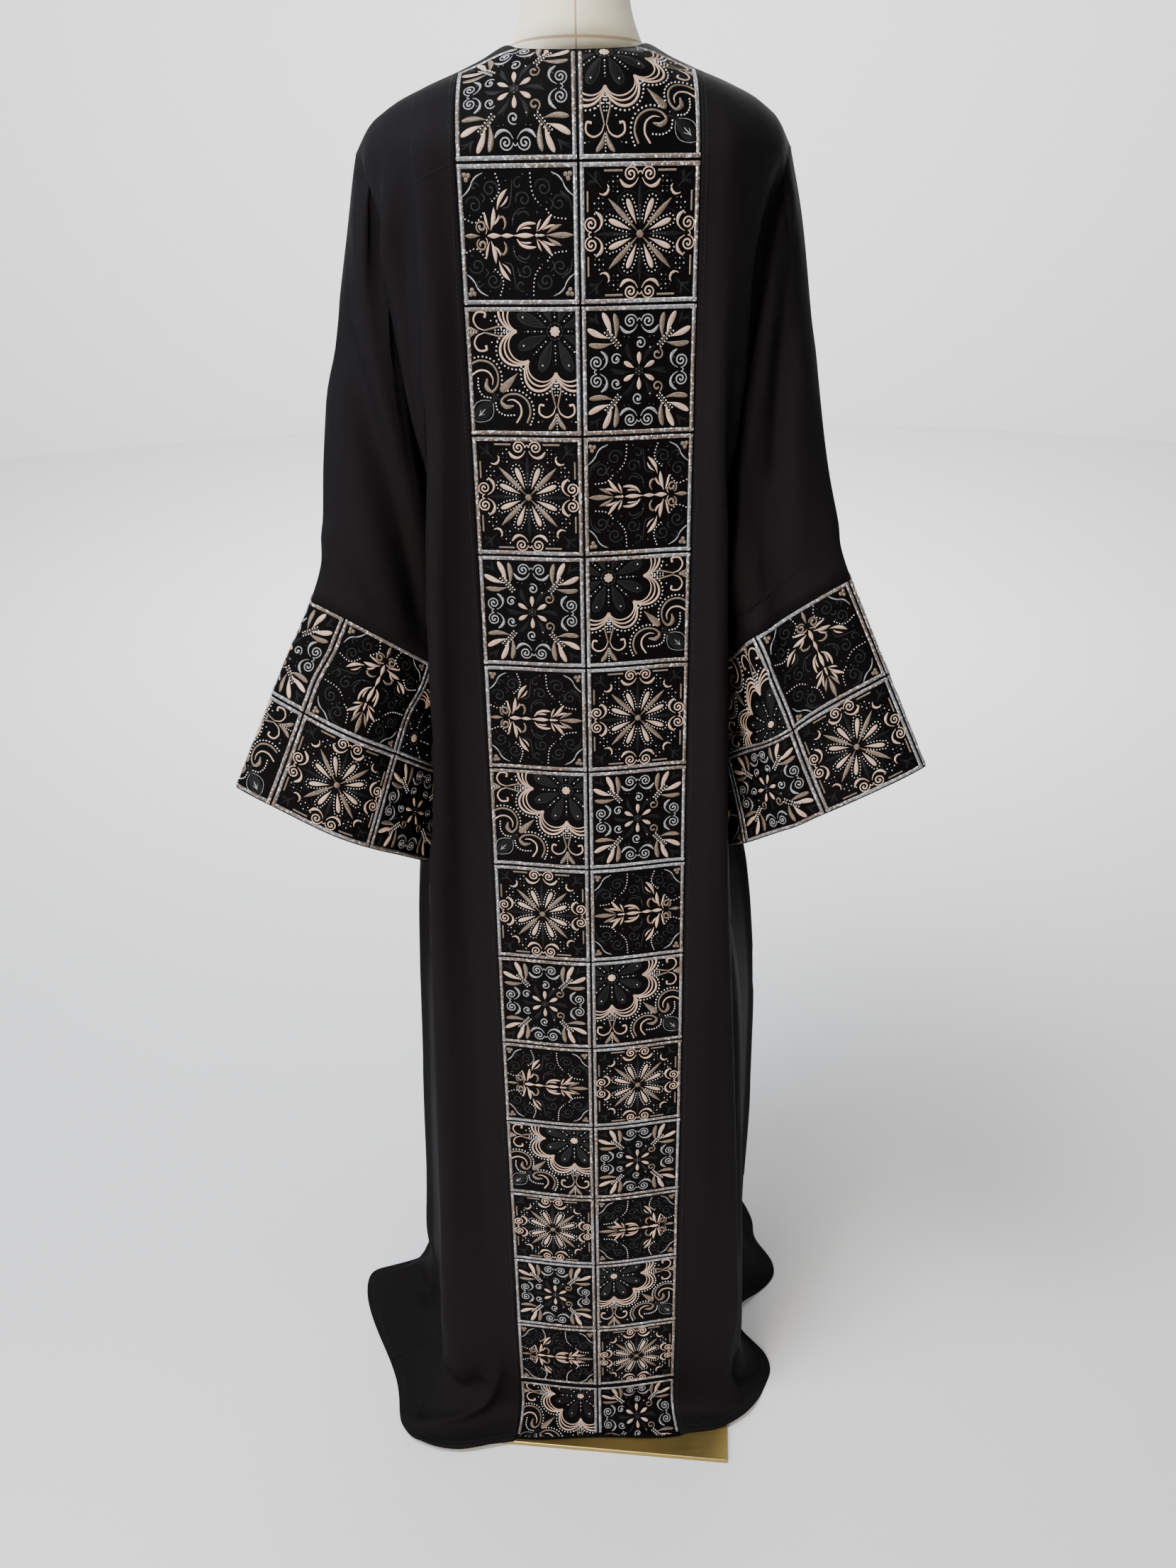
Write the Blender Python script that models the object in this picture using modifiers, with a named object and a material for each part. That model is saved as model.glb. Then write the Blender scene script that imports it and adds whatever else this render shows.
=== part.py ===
"""Abaya cloak on a dress form.

An open black cloak hangs on a limbless torso that stands on a pole and a
plate. Every cloth piece is a thin wall of its own. A wall is a grid of
points: its columns run from the hem to the shoulder, and its rows run round
the body. The guide lines below, such as the ridge of a fold or the side seam,
give the cloth's place at each height, and a smooth curve through them gives
the rest of the row.

Frame: metres, +Z up, -Y toward the back of the cloak, +X to the right of
someone who looks at the back. The origin is on the floor below the pole.
Guide lines are written for one side, with x as the distance from the middle.
"""

import math

import bpy
import numpy as np

# Cloth
CLOTH = 0.0020  # wall of the plain panels
BAND_CLOTH = 0.0026  # wall of the embroidered pieces
SEAM_GAP = 0.0003  # between two pieces at a seam
BAND_HALF = 0.100  # half the width of the strip down the back
UNDERARM = 1.130  # height of the underarm point
HEM_TURN = 0.130  # height where the cloth starts to spread on the floor
NECK_SIDE = 0.060  # distance from the middle to the neck point
SHOULDER_TURN = math.radians(78)  # how far the cloth turns over the shoulder
SEAM_END = 0.66  # share of a front panel's upper edge that is shoulder seam, the rest is neckline
FLOOR_GAP = 0.0015  # between the cloth and the plate below it
PLATE_MARGIN = (0.020, 0.030)  # beyond the plate: how far the cloth stays up, and how far it takes to come down

# Stand
PLATE = (0.380, 0.520, 0.006)  # width, depth, thickness
PLATE_TURN = math.radians(-6)
POLE_RADIUS = 0.0125
SHOULDER_FROM = 1.430  # the torso's rows lie at its own sections above this height
CAP_HEIGHT = 0.010

# Grid
HEM_ROWS, BODY_ROWS, ARM_ROWS, SHOULDER_ROWS = 6, 18, 8, 4
SIDE_COLUMNS = 10
SLEEVE_ROWS = 12
CUFF_ROWS = 3

# Guide lines of the body. Columns: height, x from the middle, y.
CENTRE_BACK = (
    (0.06, 0, -0.218), (0.28, 0, -0.202), (0.48, 0, -0.193), (0.60, 0, -0.183),
    (0.80, 0, -0.156), (1.00, 0, -0.134), (1.20, 0, -0.120), (1.46, 0, -0.112),
)
BACK_RIDGE = {
    "left": (
        (0.06, 0.196, -0.192), (0.40, 0.179, -0.171), (0.65, 0.167, -0.156),
        (0.89, 0.153, -0.130), (1.05, 0.146, -0.119), (1.15, 0.139, -0.114),
        (1.30, 0.131, -0.107), (1.46, 0.131, -0.098),
    ),
    "right": (
        (0.06, 0.184, -0.190), (0.39, 0.167, -0.172), (0.59, 0.154, -0.160),
        (0.89, 0.140, -0.131), (1.06, 0.133, -0.119), (1.16, 0.129, -0.114),
        (1.30, 0.127, -0.107), (1.46, 0.127, -0.098),
    ),
}
SIDE_SEAM = (
    (0.06, 0.205, -0.096), (0.45, 0.188, -0.086), (0.62, 0.175, -0.080),
    (0.70, 0.152, -0.068), (0.78, 0.127, -0.058), (0.87, 0.117, -0.044),
    (0.97, 0.112, -0.032), (1.05, 0.113, -0.032), (1.13, 0.126, -0.038),
)
ARMHOLE_BACK = (
    (1.13, 0.126, -0.038), (1.19, 0.147, -0.058), (1.27, 0.159, -0.066),
    (1.36, 0.167, -0.062), (1.43, 0.180, -0.040), (1.46, 0.186, -0.026),
)
ARMHOLE_FRONT = (
    (1.13, 0.126, -0.038), (1.19, 0.144, 0.014), (1.27, 0.156, 0.046),
    (1.36, 0.166, 0.052), (1.43, 0.180, 0.034), (1.46, 0.186, 0.020),
)
SIDE = {
    "left": (
        (0.06, 0.250, 0.030), (0.20, 0.234, 0.030), (0.40, 0.221, 0.030),
        (0.59, 0.205, 0.030), (0.73, 0.180, 0.034), (0.90, 0.154, 0.048),
        (1.13, 0.146, 0.040), (1.20, 0.152, 0.058), (1.30, 0.154, 0.080), (1.46, 0.166, 0.056),
    ),
    "right": (
        (0.06, 0.206, 0.030), (0.20, 0.198, 0.030), (0.40, 0.195, 0.030),
        (0.59, 0.188, 0.030), (0.73, 0.174, 0.034), (0.90, 0.153, 0.048),
        (1.13, 0.145, 0.040), (1.20, 0.152, 0.058), (1.30, 0.154, 0.080), (1.46, 0.166, 0.056),
    ),
}
FRONT_FOLD = ((0.06, 0.215, 0.140), (0.60, 0.185, 0.118), (1.05, 0.150, 0.100), (1.30, 0.138, 0.106), (1.46, 0.145, 0.080))
FRONT_FACE = ((0.06, 0.150, 0.195), (0.60, 0.120, 0.162), (1.05, 0.100, 0.132), (1.46, 0.105, 0.104))
FRONT_EDGE = ((0.06, 0.076, 0.190), (0.60, 0.064, 0.158), (1.05, 0.055, 0.130), (1.46, 0.046, 0.096))

# Where the hem meets the floor, on the same guide lines. Columns: x, y, and
# how late the cloth turns outward (1 is a wide lobe, 3 is a short kick).
HEM = {
    "left": {
        "centre": (0.000, -0.2460, 3.0), "band": (0.104, -0.2500, 3.0), "ridge": (0.200, -0.2540, 1.6),
        "seam": (0.284, -0.1300, 1.6), "side": (0.337, 0.0130, 4.5), "fold": (0.262, 0.1500, 2.0),
        "face": (0.170, 0.2250, 1.6), "edge": (0.082, 0.2100, 2.5),
    },
    "right": {
        "centre": (0.000, -0.2460, 3.0), "band": (0.106, -0.2420, 3.0), "ridge": (0.224, -0.1680, 1.8),
        "seam": (0.216, -0.0800, 1.8), "side": (0.264, 0.0040, 1.9), "fold": (0.240, 0.1150, 1.8),
        "face": (0.170, 0.2200, 1.6), "edge": (0.082, 0.2100, 2.5),
    },
}

# Top of the shoulder. Columns: x from the middle, y, height.
SHOULDER = (
    (0.060, -0.020, 1.5285), (0.080, -0.018, 1.519), (0.100, -0.016, 1.511), (0.130, -0.012, 1.500),
    (0.160, -0.008, 1.485), (0.176, -0.005, 1.471), (0.187, -0.004, 1.452),
)
NAPE = (-0.078, 1.520)  # y and height of the neckline at the centre back
FRONT_NECK = ((0.063, 0.018, 1.518), (0.061, 0.052, 1.490), (0.050, 0.082, 1.452))

# Soft folds. Columns: panel, place across it (0 at the seam nearest the back
# middle), half width as a share of it, depth (outward is +), foot, top.
FOLDS = (
    ("back_left", 0.20, 0.14, -0.007, 0.15, 1.10), ("back_left", 0.50, 0.15, -0.011, 1.02, 1.44),
    ("back_left", 0.80, 0.13, 0.010, 1.08, 1.44), ("back_right", 0.16, 0.13, 0.006, 0.15, 1.36),
    ("back_right", 0.52, 0.15, -0.012, 0.98, 1.42), ("back_right", 0.80, 0.13, 0.009, 1.08, 1.42),
    ("front_left", 0.36, 0.09, -0.026, 0.03, 0.98), ("front_left", 0.62, 0.08, -0.022, 0.06, 1.24),
    ("front_left", 0.83, 0.07, -0.014, 0.05, 1.30), ("front_right", 0.33, 0.09, -0.025, 0.03, 1.00),
    ("front_right", 0.59, 0.08, -0.023, 0.07, 1.20), ("front_right", 0.81, 0.07, -0.015, 0.04, 1.28),
)

# Sleeve stations from the armhole to the cuff's lower edge. Columns: outer
# edge x, y, z; inner edge x, y, z; half thickness to the back and to the
# front; bow of the middle line to the back.
SLEEVE = {
    "left": (
        (0.187, -0.004, 1.452, 0.126, -0.038, 1.130, 0.070, 0.070, 0.000),
        (0.204, -0.022, 1.400, 0.149, -0.036, 1.120, 0.055, 0.070, 0.004),
        (0.221, -0.046, 1.308, 0.150, -0.032, 1.082, 0.044, 0.066, 0.008),
        (0.238, -0.070, 1.209, 0.147, -0.026, 1.038, 0.036, 0.066, 0.014),
        (0.246, -0.090, 1.140, 0.142, -0.020, 0.998, 0.032, 0.078, 0.018),
        (0.260, -0.108, 1.079, 0.138, -0.014, 0.958, 0.030, 0.088, 0.020),
        (0.345, -0.158, 0.907, 0.174, -0.078, 0.772, 0.030, 0.058, 0.014),
    ),
    "right": (
        (0.187, -0.004, 1.452, 0.126, -0.038, 1.130, 0.070, 0.070, 0.000),
        (0.199, -0.022, 1.392, 0.149, -0.036, 1.120, 0.055, 0.070, 0.004),
        (0.211, -0.046, 1.300, 0.150, -0.032, 1.082, 0.044, 0.066, 0.008),
        (0.226, -0.070, 1.202, 0.147, -0.026, 1.038, 0.036, 0.066, 0.014),
        (0.238, -0.090, 1.145, 0.142, -0.020, 1.000, 0.032, 0.078, 0.016),
        (0.251, -0.108, 1.092, 0.137, -0.014, 0.964, 0.030, 0.088, 0.018),
        (0.330, -0.158, 0.918, 0.154, -0.078, 0.784, 0.030, 0.056, 0.012),
    ),
}

SLEEVE_FRONT = np.array([0.16, 0.98, 0.08])  # the way the sleeve's front half lies from its edges

# Sections of the torso and neck. Columns: height, half width, half depth, y of the middle.
TORSO = (
    (0.790, 0.128, 0.088, 0.014), (0.800, 0.132, 0.092, 0.014), (0.870, 0.127, 0.091, 0.015), (0.960, 0.112, 0.084, 0.013),
    (1.050, 0.104, 0.078, 0.010), (1.130, 0.114, 0.084, 0.008), (1.220, 0.133, 0.094, 0.004),
    (1.320, 0.146, 0.094, -0.001), (1.400, 0.152, 0.084, -0.008), (1.450, 0.148, 0.070, -0.013),
    (1.470, 0.141, 0.063, -0.014), (1.485, 0.132, 0.057, -0.014), (1.498, 0.118, 0.050, -0.013),
    (1.508, 0.1000, 0.044, -0.013), (1.523, 0.0600, 0.044, -0.014), (1.533, 0.049, 0.0465, -0.018),
    (1.545, 0.0465, 0.047, -0.019), (1.580, 0.0430, 0.044, -0.018), (1.618, 0.0425, 0.043, -0.017),
)


def smooth(keys, values, at):
    """Reads a smooth curve through (keys, values) at each place in `at`."""
    keys, values, at = np.asarray(keys, float), np.asarray(values, float), np.asarray(at, float)
    slopes = np.gradient(values, keys, axis=0)
    at = np.clip(at, keys[0], keys[-1])
    i = np.clip(np.searchsorted(keys, at, side="right") - 1, 0, len(keys) - 2)
    step = keys[i + 1] - keys[i]
    t = (at - keys[i]) / step
    if values.ndim > 1:
        t, step = t[..., None], step[..., None]
    return (
        (2 * t**3 - 3 * t**2 + 1) * values[i]
        + (t**3 - 2 * t**2 + t) * step * slopes[i]
        + (3 * t**2 - 2 * t**3) * values[i + 1]
        + (t**3 - t**2) * step * slopes[i + 1]
    )


def ease(t):
    t = np.clip(t, 0, 1)
    return t * t * (3 - 2 * t)


def guide(line, height):
    """x and y of a guide line at a height."""
    rows = np.array(line, float)
    return smooth(rows[:, 0], rows[:, 1:], height)


def along(points, shares, first, last):
    """Points at shares (0 to 1) of the way from points[first] to points[last], on a smooth curve through them all."""
    points = np.array(points, float)
    knots = np.concatenate([[0], np.cumsum(np.sqrt(np.linalg.norm(np.diff(points, axis=0), axis=1)))])
    dense = smooth(knots, points, np.linspace(knots[first], knots[last], 97))
    length = np.concatenate([[0], np.cumsum(np.linalg.norm(np.diff(dense, axis=0), axis=1))])
    want = np.asarray(shares) * length[-1]
    return np.stack([np.interp(want, length, dense[:, k]) for k in range(dense.shape[1])], axis=1)


def row_guides(side, height):
    """The guide points of one row, from the centre back round to the front edge, with both armhole edges."""
    centre = guide(CENTRE_BACK, height)
    sag = 0.010 + 0.004 * math.sin(math.pi * min(height, 1.5) / 1.5)
    return {
        "centre": centre,
        "band": np.array([BAND_HALF * 0.994, centre[1] + sag]),
        "ridge": guide(BACK_RIDGE[side], height),
        "seam": guide(SIDE_SEAM if height <= UNDERARM else ARMHOLE_BACK, height),
        "front_seam": guide(SIDE_SEAM if height <= UNDERARM else ARMHOLE_FRONT, height),
        "side": guide(SIDE[side], height),
        "fold": guide(FRONT_FOLD, height),
        "face": guide(FRONT_FACE, height),
        "edge": guide(FRONT_EDGE, height),
    }


def mirrored(point):
    return np.array([-point[0], *point[1:]])


def panel_row(panel, g, shares):
    """One row of a panel through the guide points g, in the guide lines' own x."""
    if panel == "band":
        points = [mirrored(g["ridge"]), mirrored(g["band"]), g["centre"], g["band"], g["ridge"]]
        return along(points, shares, 1, 3)
    if panel == "back":
        points = [g["centre"], g["band"], g["ridge"], g["seam"], g["side"], g["fold"]]
        return along(points, shares, 1, 3)
    points = [g["ridge"], g["front_seam"], g["side"], g["fold"], g["face"], g["edge"]]
    return along(points, shares, 1, 5)


def shoulder_at(x):
    """Point on the shoulder seam at a distance from the middle."""
    rows = np.array(SHOULDER)
    y, z = smooth(rows[:, 0], rows[:, 1:], x)
    return np.array([x, y, z])


def neckline_at(x):
    """Point on the back neckline, an arc round the nape."""
    reach = math.sqrt(max(0.0, 1 - (x / NECK_SIDE) ** 2))
    side = shoulder_at(NECK_SIDE)
    return np.array([x, side[1] + (NAPE[0] - side[1]) * reach, side[2] + (NAPE[1] - side[2]) * reach])


def top_points(panel, shares):
    """Upper edge of a panel: the shoulder seam and the neckline."""
    outer = SHOULDER[-1][0]
    if panel == "band":
        xs = (2 * shares - 1) * BAND_HALF
        found = [shoulder_at(abs(x)) if abs(x) >= NECK_SIDE - 1e-6 else neckline_at(abs(x)) for x in xs]
        return np.array([[math.copysign(p[0], x), p[1], p[2]] for p, x in zip(found, xs)])
    if panel == "back":
        return np.array([shoulder_at(BAND_HALF + (outer - BAND_HALF) * s) for s in shares])
    neck = np.array([shoulder_at(NECK_SIDE), *FRONT_NECK])
    found = []
    for s in shares:
        if s <= SEAM_END + 1e-9:
            found.append(shoulder_at(outer + (NECK_SIDE - outer) * s / SEAM_END))
        else:
            found.append(along(neck, [(s - SEAM_END) / (1 - SEAM_END)], 0, len(neck) - 1)[0])
    return np.array(found)


def front_shares():
    """Columns of a front panel: those of the back and of the band along the shoulder seam, then the neckline."""
    outer = SHOULDER[-1][0]
    seam_x = np.concatenate([
        np.linspace(outer, BAND_HALF, SIDE_COLUMNS + 1)[:-1],
        np.linspace(BAND_HALF, NECK_SIDE, 3),
    ])
    on_seam = (outer - seam_x) / (outer - NECK_SIDE) * SEAM_END
    return np.concatenate([on_seam, np.linspace(SEAM_END, 1, 5)[1:]])


def band_shares():
    outer = [BAND_HALF, (BAND_HALF + NECK_SIDE) / 2, NECK_SIDE, NECK_SIDE * 0.78, NECK_SIDE * 0.42]
    xs = np.array([-x for x in outer] + [0] + outer[::-1])
    return (xs / BAND_HALF + 1) / 2


def ground(x, y):
    """Height that the cloth lies on: the plate, a step down round it, then the floor."""
    c, s = math.cos(-PLATE_TURN), math.sin(-PLATE_TURN)
    px, py = x * c - y * s, x * s + y * c
    beyond = np.hypot(np.maximum(abs(px) - PLATE[0] / 2, 0), np.maximum(abs(py) - PLATE[1] / 2, 0))
    return (PLATE[2] + FLOOR_GAP) * (1 - ease((beyond - PLATE_MARGIN[0]) / PLATE_MARGIN[1]))


def body_panel(panel, side, shares, wall, name):
    """Grid of a body panel: rows from the hem up, columns along the shares."""
    flip = -1 if side == "left" else 1
    hem = {key: np.array(row) for key, row in HEM[side].items()}
    hem["front_seam"] = hem["seam"]
    low = row_guides(side, HEM_TURN)
    foot = panel_row(panel, {k: v[:2] for k, v in hem.items()}, shares)
    late = np.interp(shares, *late_turns(panel, hem))
    start = panel_row(panel, low, shares)
    top = top_points(panel, shares)
    rows = []
    for j in range(HEM_ROWS):
        turn = (math.pi / 2) * (1 - j / HEM_ROWS)
        spread = (1 - math.cos(turn)) ** late
        xy = start + (foot - start) * spread[:, None]
        z = np.full(len(shares), wall / 2 + (HEM_TURN - wall / 2) * (1 - math.sin(turn)))
        rows.append(np.column_stack([xy, z]))
    for j in range(BODY_ROWS):
        height = HEM_TURN + (UNDERARM - HEM_TURN) * j / BODY_ROWS
        xy = panel_row(panel, row_guides(side, height), shares)
        rows.append(np.column_stack([xy, np.full(len(shares), height)]))
    across = np.abs(2 * shares - 1) if panel == "band" else (shares if panel == "back" else 1 - shares)
    drop = {"band": 0.075, "back": 0.075 - 0.045 * across, "front": 0.030 + 0.055 * (1 - across)}[panel]
    base_height = top[:, 2] - drop
    for j in range(ARM_ROWS + 1):
        heights = UNDERARM + (base_height - UNDERARM) * j / ARM_ROWS
        cells = [
            panel_row(panel, row_guides(side, h + (1e-6 if j else 0)), [s])[0] for h, s in zip(heights, shares)
        ]
        rows.append(np.column_stack([cells, heights]))
    base = rows[-1]
    for j in range(1, SHOULDER_ROWS + 1):
        turn = SHOULDER_TURN * j / SHOULDER_ROWS
        out = (1 - math.cos(turn)) / (1 - math.cos(SHOULDER_TURN))
        up = math.sin(turn) / math.sin(SHOULDER_TURN)
        step = top - base
        rows.append(base + step * np.array([out, out, 0]) + step * np.array([0, 0, up]))
    grid = np.array(rows)
    grid = grid + fold_offsets(name, grid, shares)
    floor = ground(grid[..., 0] * flip, grid[..., 1])
    grid[..., 2] = np.maximum(grid[..., 2], floor + wall / 2)
    grid[..., 0] *= flip
    return grid


def late_turns(panel, hem):
    """How late the hem turns outward across a panel, as (shares, values)."""
    names = {
        "band": ("band", "centre", "band"),
        "back": ("band", "ridge", "seam"),
        "front": ("seam", "side", "fold", "face", "edge"),
    }[panel]
    return np.linspace(0, 1, len(names)), [hem[n][2] for n in names]


def fold_offsets(name, grid, shares):
    """Moves a panel's points in or out along its folds."""
    outward = outward_of(grid, False)
    outward[..., 2] = 0
    offset = np.zeros(grid.shape[:2])
    for panel, place, width, depth, foot, top in FOLDS:
        if panel == name:
            across = np.exp(-(((shares - place) / width) ** 2))
            z = grid[..., 2]
            fade = ease((z - foot) / 0.25) * ease((top - z) / 0.30)
            offset += depth * across[None, :] * fade
    return outward * offset[..., None]


def outward_of(grid, closed):
    """Unit normals of a grid of points, pointing away from its inside."""
    if closed:
        round_way = np.roll(grid, -1, axis=1) - np.roll(grid, 1, axis=1)
    else:
        round_way = np.gradient(grid, axis=1)
    normal = np.cross(round_way, np.gradient(grid, axis=0))
    normal /= np.linalg.norm(normal, axis=2, keepdims=True) + 1e-12
    middle = grid.mean(axis=1, keepdims=True) if closed else np.array([0.0, 0.0, 0.0])
    away = grid - middle
    away[..., 2] *= 0 if not closed else 1
    return normal * np.sign((normal * away).sum())


def blend_edges(*edges):
    """Gives the same normals to the edges that meet at a seam, lengthened so that the wall keeps its thickness."""
    total = sum(edge.copy() for edge in edges)
    total /= np.linalg.norm(total, axis=-1, keepdims=True) + 1e-12
    slant = np.clip((total * edges[0]).sum(axis=-1, keepdims=True), 0.6, 1)
    for edge in edges:
        edge[...] = total / slant


def pull_back(grid, edge, gap=SEAM_GAP / 2):
    """Moves one edge of a grid back from its seam."""
    index = {
        "first": (slice(None), 0, 1), "last": (slice(None), -1, -2),
        "foot": (0, slice(None), 1), "top": (-1, slice(None), -2),
    }[edge]
    here, there = ((index[0], index[1]), (index[0], index[2])) if edge in ("first", "last") else (
        (index[0], index[1]), (index[2], index[1]))
    step = grid[there] - grid[here]
    grid[here] += step / (np.linalg.norm(step, axis=-1, keepdims=True) + 1e-12) * gap


def wall_object(name, grid, normals, wall, closed, material):
    """A closed wall round a grid: an outer skin, an inner skin and the rims between them."""
    rows, columns = grid.shape[:2]
    outer, inner = grid + normals * wall / 2, grid - normals * wall / 2
    inner[..., 2] = np.maximum(inner[..., 2], 0)
    outer[..., 2] = np.maximum(outer[..., 2], 0)
    points = np.concatenate([outer.reshape(-1, 3), inner.reshape(-1, 3)])
    number = np.arange(rows * columns).reshape(rows, columns)
    other = number + rows * columns
    faces = []
    wide = columns if closed else columns - 1
    for j in range(rows - 1):
        for i in range(wide):
            k = (i + 1) % columns
            faces.append((number[j, i], number[j, k], number[j + 1, k], number[j + 1, i]))
            faces.append((other[j, i], other[j + 1, i], other[j + 1, k], other[j, k]))
    for i in range(wide):
        k = (i + 1) % columns
        faces.append((number[0, i], other[0, i], other[0, k], number[0, k]))
        faces.append((number[-1, i], number[-1, k], other[-1, k], other[-1, i]))
    if not closed:
        for j in range(rows - 1):
            faces.append((number[j, 0], number[j + 1, 0], other[j + 1, 0], other[j, 0]))
            faces.append((number[j, -1], other[j, -1], other[j + 1, -1], number[j + 1, -1]))
    corners = points[np.array(faces)]
    volume = np.einsum("ij,ij->i", corners[:, 0], np.cross(corners[:, 1], corners[:, 2])).sum()
    volume += np.einsum("ij,ij->i", corners[:, 0], np.cross(corners[:, 2], corners[:, 3])).sum()
    if volume < 0:
        faces = [face[::-1] for face in faces]
    mesh = bpy.data.meshes.new(name)
    mesh.from_pydata(points.tolist(), [], [tuple(int(n) for n in face) for face in faces])
    mesh.validate()
    mesh.shade_smooth()
    mesh.set_sharp_from_angle(angle=math.radians(50))
    mesh.materials.append(material)
    obj = bpy.data.objects.new(name, mesh)
    PARTS.objects.link(obj)
    return obj


def ring_turns(count):
    return np.linspace(0, 2 * math.pi, count, endpoint=False)


def sleeve_ring(side, share, turns):
    """One ring of the sleeve at a share of the stations: 0 is the armhole, 5 the cuff's upper edge, 6 its lower edge."""
    stations = np.array(SLEEVE[side])
    row = smooth(np.arange(len(stations)), stations, share)
    ahead = smooth(np.arange(len(stations)), stations, min(share + 0.05, 6))
    behind = smooth(np.arange(len(stations)), stations, max(share - 0.05, 0))
    outer, inner, (back, front, bow) = row[:3], row[3:6], row[6:]
    down = (ahead[:3] + ahead[3:6]) - (behind[:3] + behind[3:6])
    across = outer - inner
    toward_back = np.cross(across, down)
    toward_back *= -np.sign(toward_back[1]) / np.linalg.norm(toward_back)
    c, s = np.cos(turns), np.sin(turns)
    to_back = bow * (1 - c**2) + back * np.maximum(s, 0)
    to_front = front * np.maximum(-s, 0) * (1 + 0.45 * c)
    middle = (outer + inner) / 2 + across / 2 * c[:, None]
    return middle + toward_back * to_back[:, None] + SLEEVE_FRONT * to_front[:, None]


def sleeve_grid(side, armhole):
    """Rings from the armhole's own points to the cuff's upper edge."""
    flip = np.array([-1 if side == "left" else 1, 1, 1])
    count = len(armhole)
    turns = ring_turns(count)
    loop = armhole * flip
    stations = np.array(SLEEVE[side])
    high = ((1 + np.cos(turns)) / 2)[:, None]
    rows = []
    for j in range(SLEEVE_ROWS + 1):
        share = 5 * (j / SLEEVE_ROWS) ** 1.1
        row = smooth(np.arange(len(stations)), stations, share)
        moved = loop + high * (row[:3] - stations[0, :3]) + (1 - high) * (row[3:6] - stations[0, 3:6])
        flat = sleeve_ring(side, share, turns)
        weight = ease(share / 2.6)
        rows.append((moved * (1 - weight) + flat * weight) * flip)
    return np.array(rows)


def cuff_grid(side, count):
    flip = np.array([-1 if side == "left" else 1, 1, 1])
    turns = ring_turns(count)
    upper, lower = sleeve_ring(side, 5, turns), sleeve_ring(side, 6, turns)
    steps = np.linspace(0, 1, CUFF_ROWS + 1)[:, None, None]
    return (upper + (lower - upper) * steps) * flip


def material(name, colour, roughness, metallic=0.0):
    made = bpy.data.materials.new(name)
    made.use_nodes = True
    shader = made.node_tree.nodes["Principled BSDF"]
    shader.inputs["Base Color"].default_value = (*colour, 1)
    shader.inputs["Roughness"].default_value = roughness
    shader.inputs["Metallic"].default_value = metallic
    return made


def clothes():
    """The nine cloth pieces."""
    crepe = material("black_crepe", (0.016, 0.015, 0.017), 0.62)
    worked = material("embroidered_crepe", (0.10, 0.09, 0.085), 0.55)
    band = body_panel("band", "right", band_shares(), BAND_CLOTH, "back_band")
    mirrored_band = body_panel("band", "left", 1 - band_shares(), BAND_CLOTH, "back_band")
    band = (band * 0.5 + mirrored_band * 0.5)
    band_normals = outward_of(band, False)
    arm_from = HEM_ROWS + BODY_ROWS
    for side in ("left", "right"):
        back_shares = np.linspace(0, 1, SIDE_COLUMNS + 1)
        shares = front_shares()
        back = body_panel("back", side, back_shares, CLOTH, "back_" + side)
        back[:, 0] = band[:, 0 if side == "left" else -1]
        front = body_panel("front", side, shares, CLOTH, "front_" + side)
        back_normals, front_normals = outward_of(back, False), outward_of(front, False)
        armhole = np.concatenate([back[arm_from:, -1][::-1], front[arm_from + 1 : -1, 0]])
        sleeve = sleeve_grid(side, armhole)
        sleeve_normals = outward_of(sleeve, True)
        cuff = cuff_grid(side, len(armhole))
        cuff_normals = outward_of(cuff, True)
        # The wall's normals are shared along each seam, so that the two edges stay parallel.
        blend_edges(back_normals[:, 0], band_normals[:, 0 if side == "left" else -1])
        blend_edges(back_normals[:arm_from, -1], front_normals[:arm_from, 0])
        back_top = back_normals[-1, ::-1]
        blend_edges(back_top, front_normals[-1, : SIDE_COLUMNS + 1])
        band_top = band_normals[-1, :3] if side == "left" else band_normals[-1, :-4:-1]
        blend_edges(band_top, front_normals[-1, SIDE_COLUMNS : SIDE_COLUMNS + 3])
        half = len(armhole) // 2
        ring = sleeve_normals[0]
        back_edge, front_edge = back_normals[arm_from:, -1][::-1], front_normals[arm_from:, 0][::-1]
        blend_edges(ring[1:half], back_edge[1:-1])
        blend_edges(ring[: half : -1], front_edge[1:-1])
        blend_edges(ring[0], back_edge[0], front_edge[0])
        blend_edges(ring[half], back_edge[-1], front_edge[-1])
        blend_edges(sleeve_normals[-1], cuff_normals[0])
        for grid, edges in ((back, ("first", "last", "top")), (front, ("first", "top"))):
            for edge in edges:
                pull_back(grid, edge)
        pull_back(front[: HEM_ROWS + 1], "first", SEAM_GAP)
        # The sleeve folds back sharply from its seam, so both edges stand off there.
        pull_back(sleeve, "foot", SEAM_GAP + CLOTH / 2)
        pull_back(back[arm_from:], "last", CLOTH / 4)
        pull_back(sleeve, "top")
        pull_back(cuff, "foot")
        wall_object("back_" + side, back, back_normals, CLOTH, False, crepe)
        wall_object("front_" + side, front, front_normals, CLOTH, False, crepe)
        wall_object("sleeve_" + side, sleeve, sleeve_normals, CLOTH, True, crepe)
        wall_object("cuff_" + side, cuff, cuff_normals, BAND_CLOTH, True, worked)
    for edge in ("first", "last", "top"):
        pull_back(band, edge)
    wall_object("back_band", band, band_normals, BAND_CLOTH, False, worked)


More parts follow.
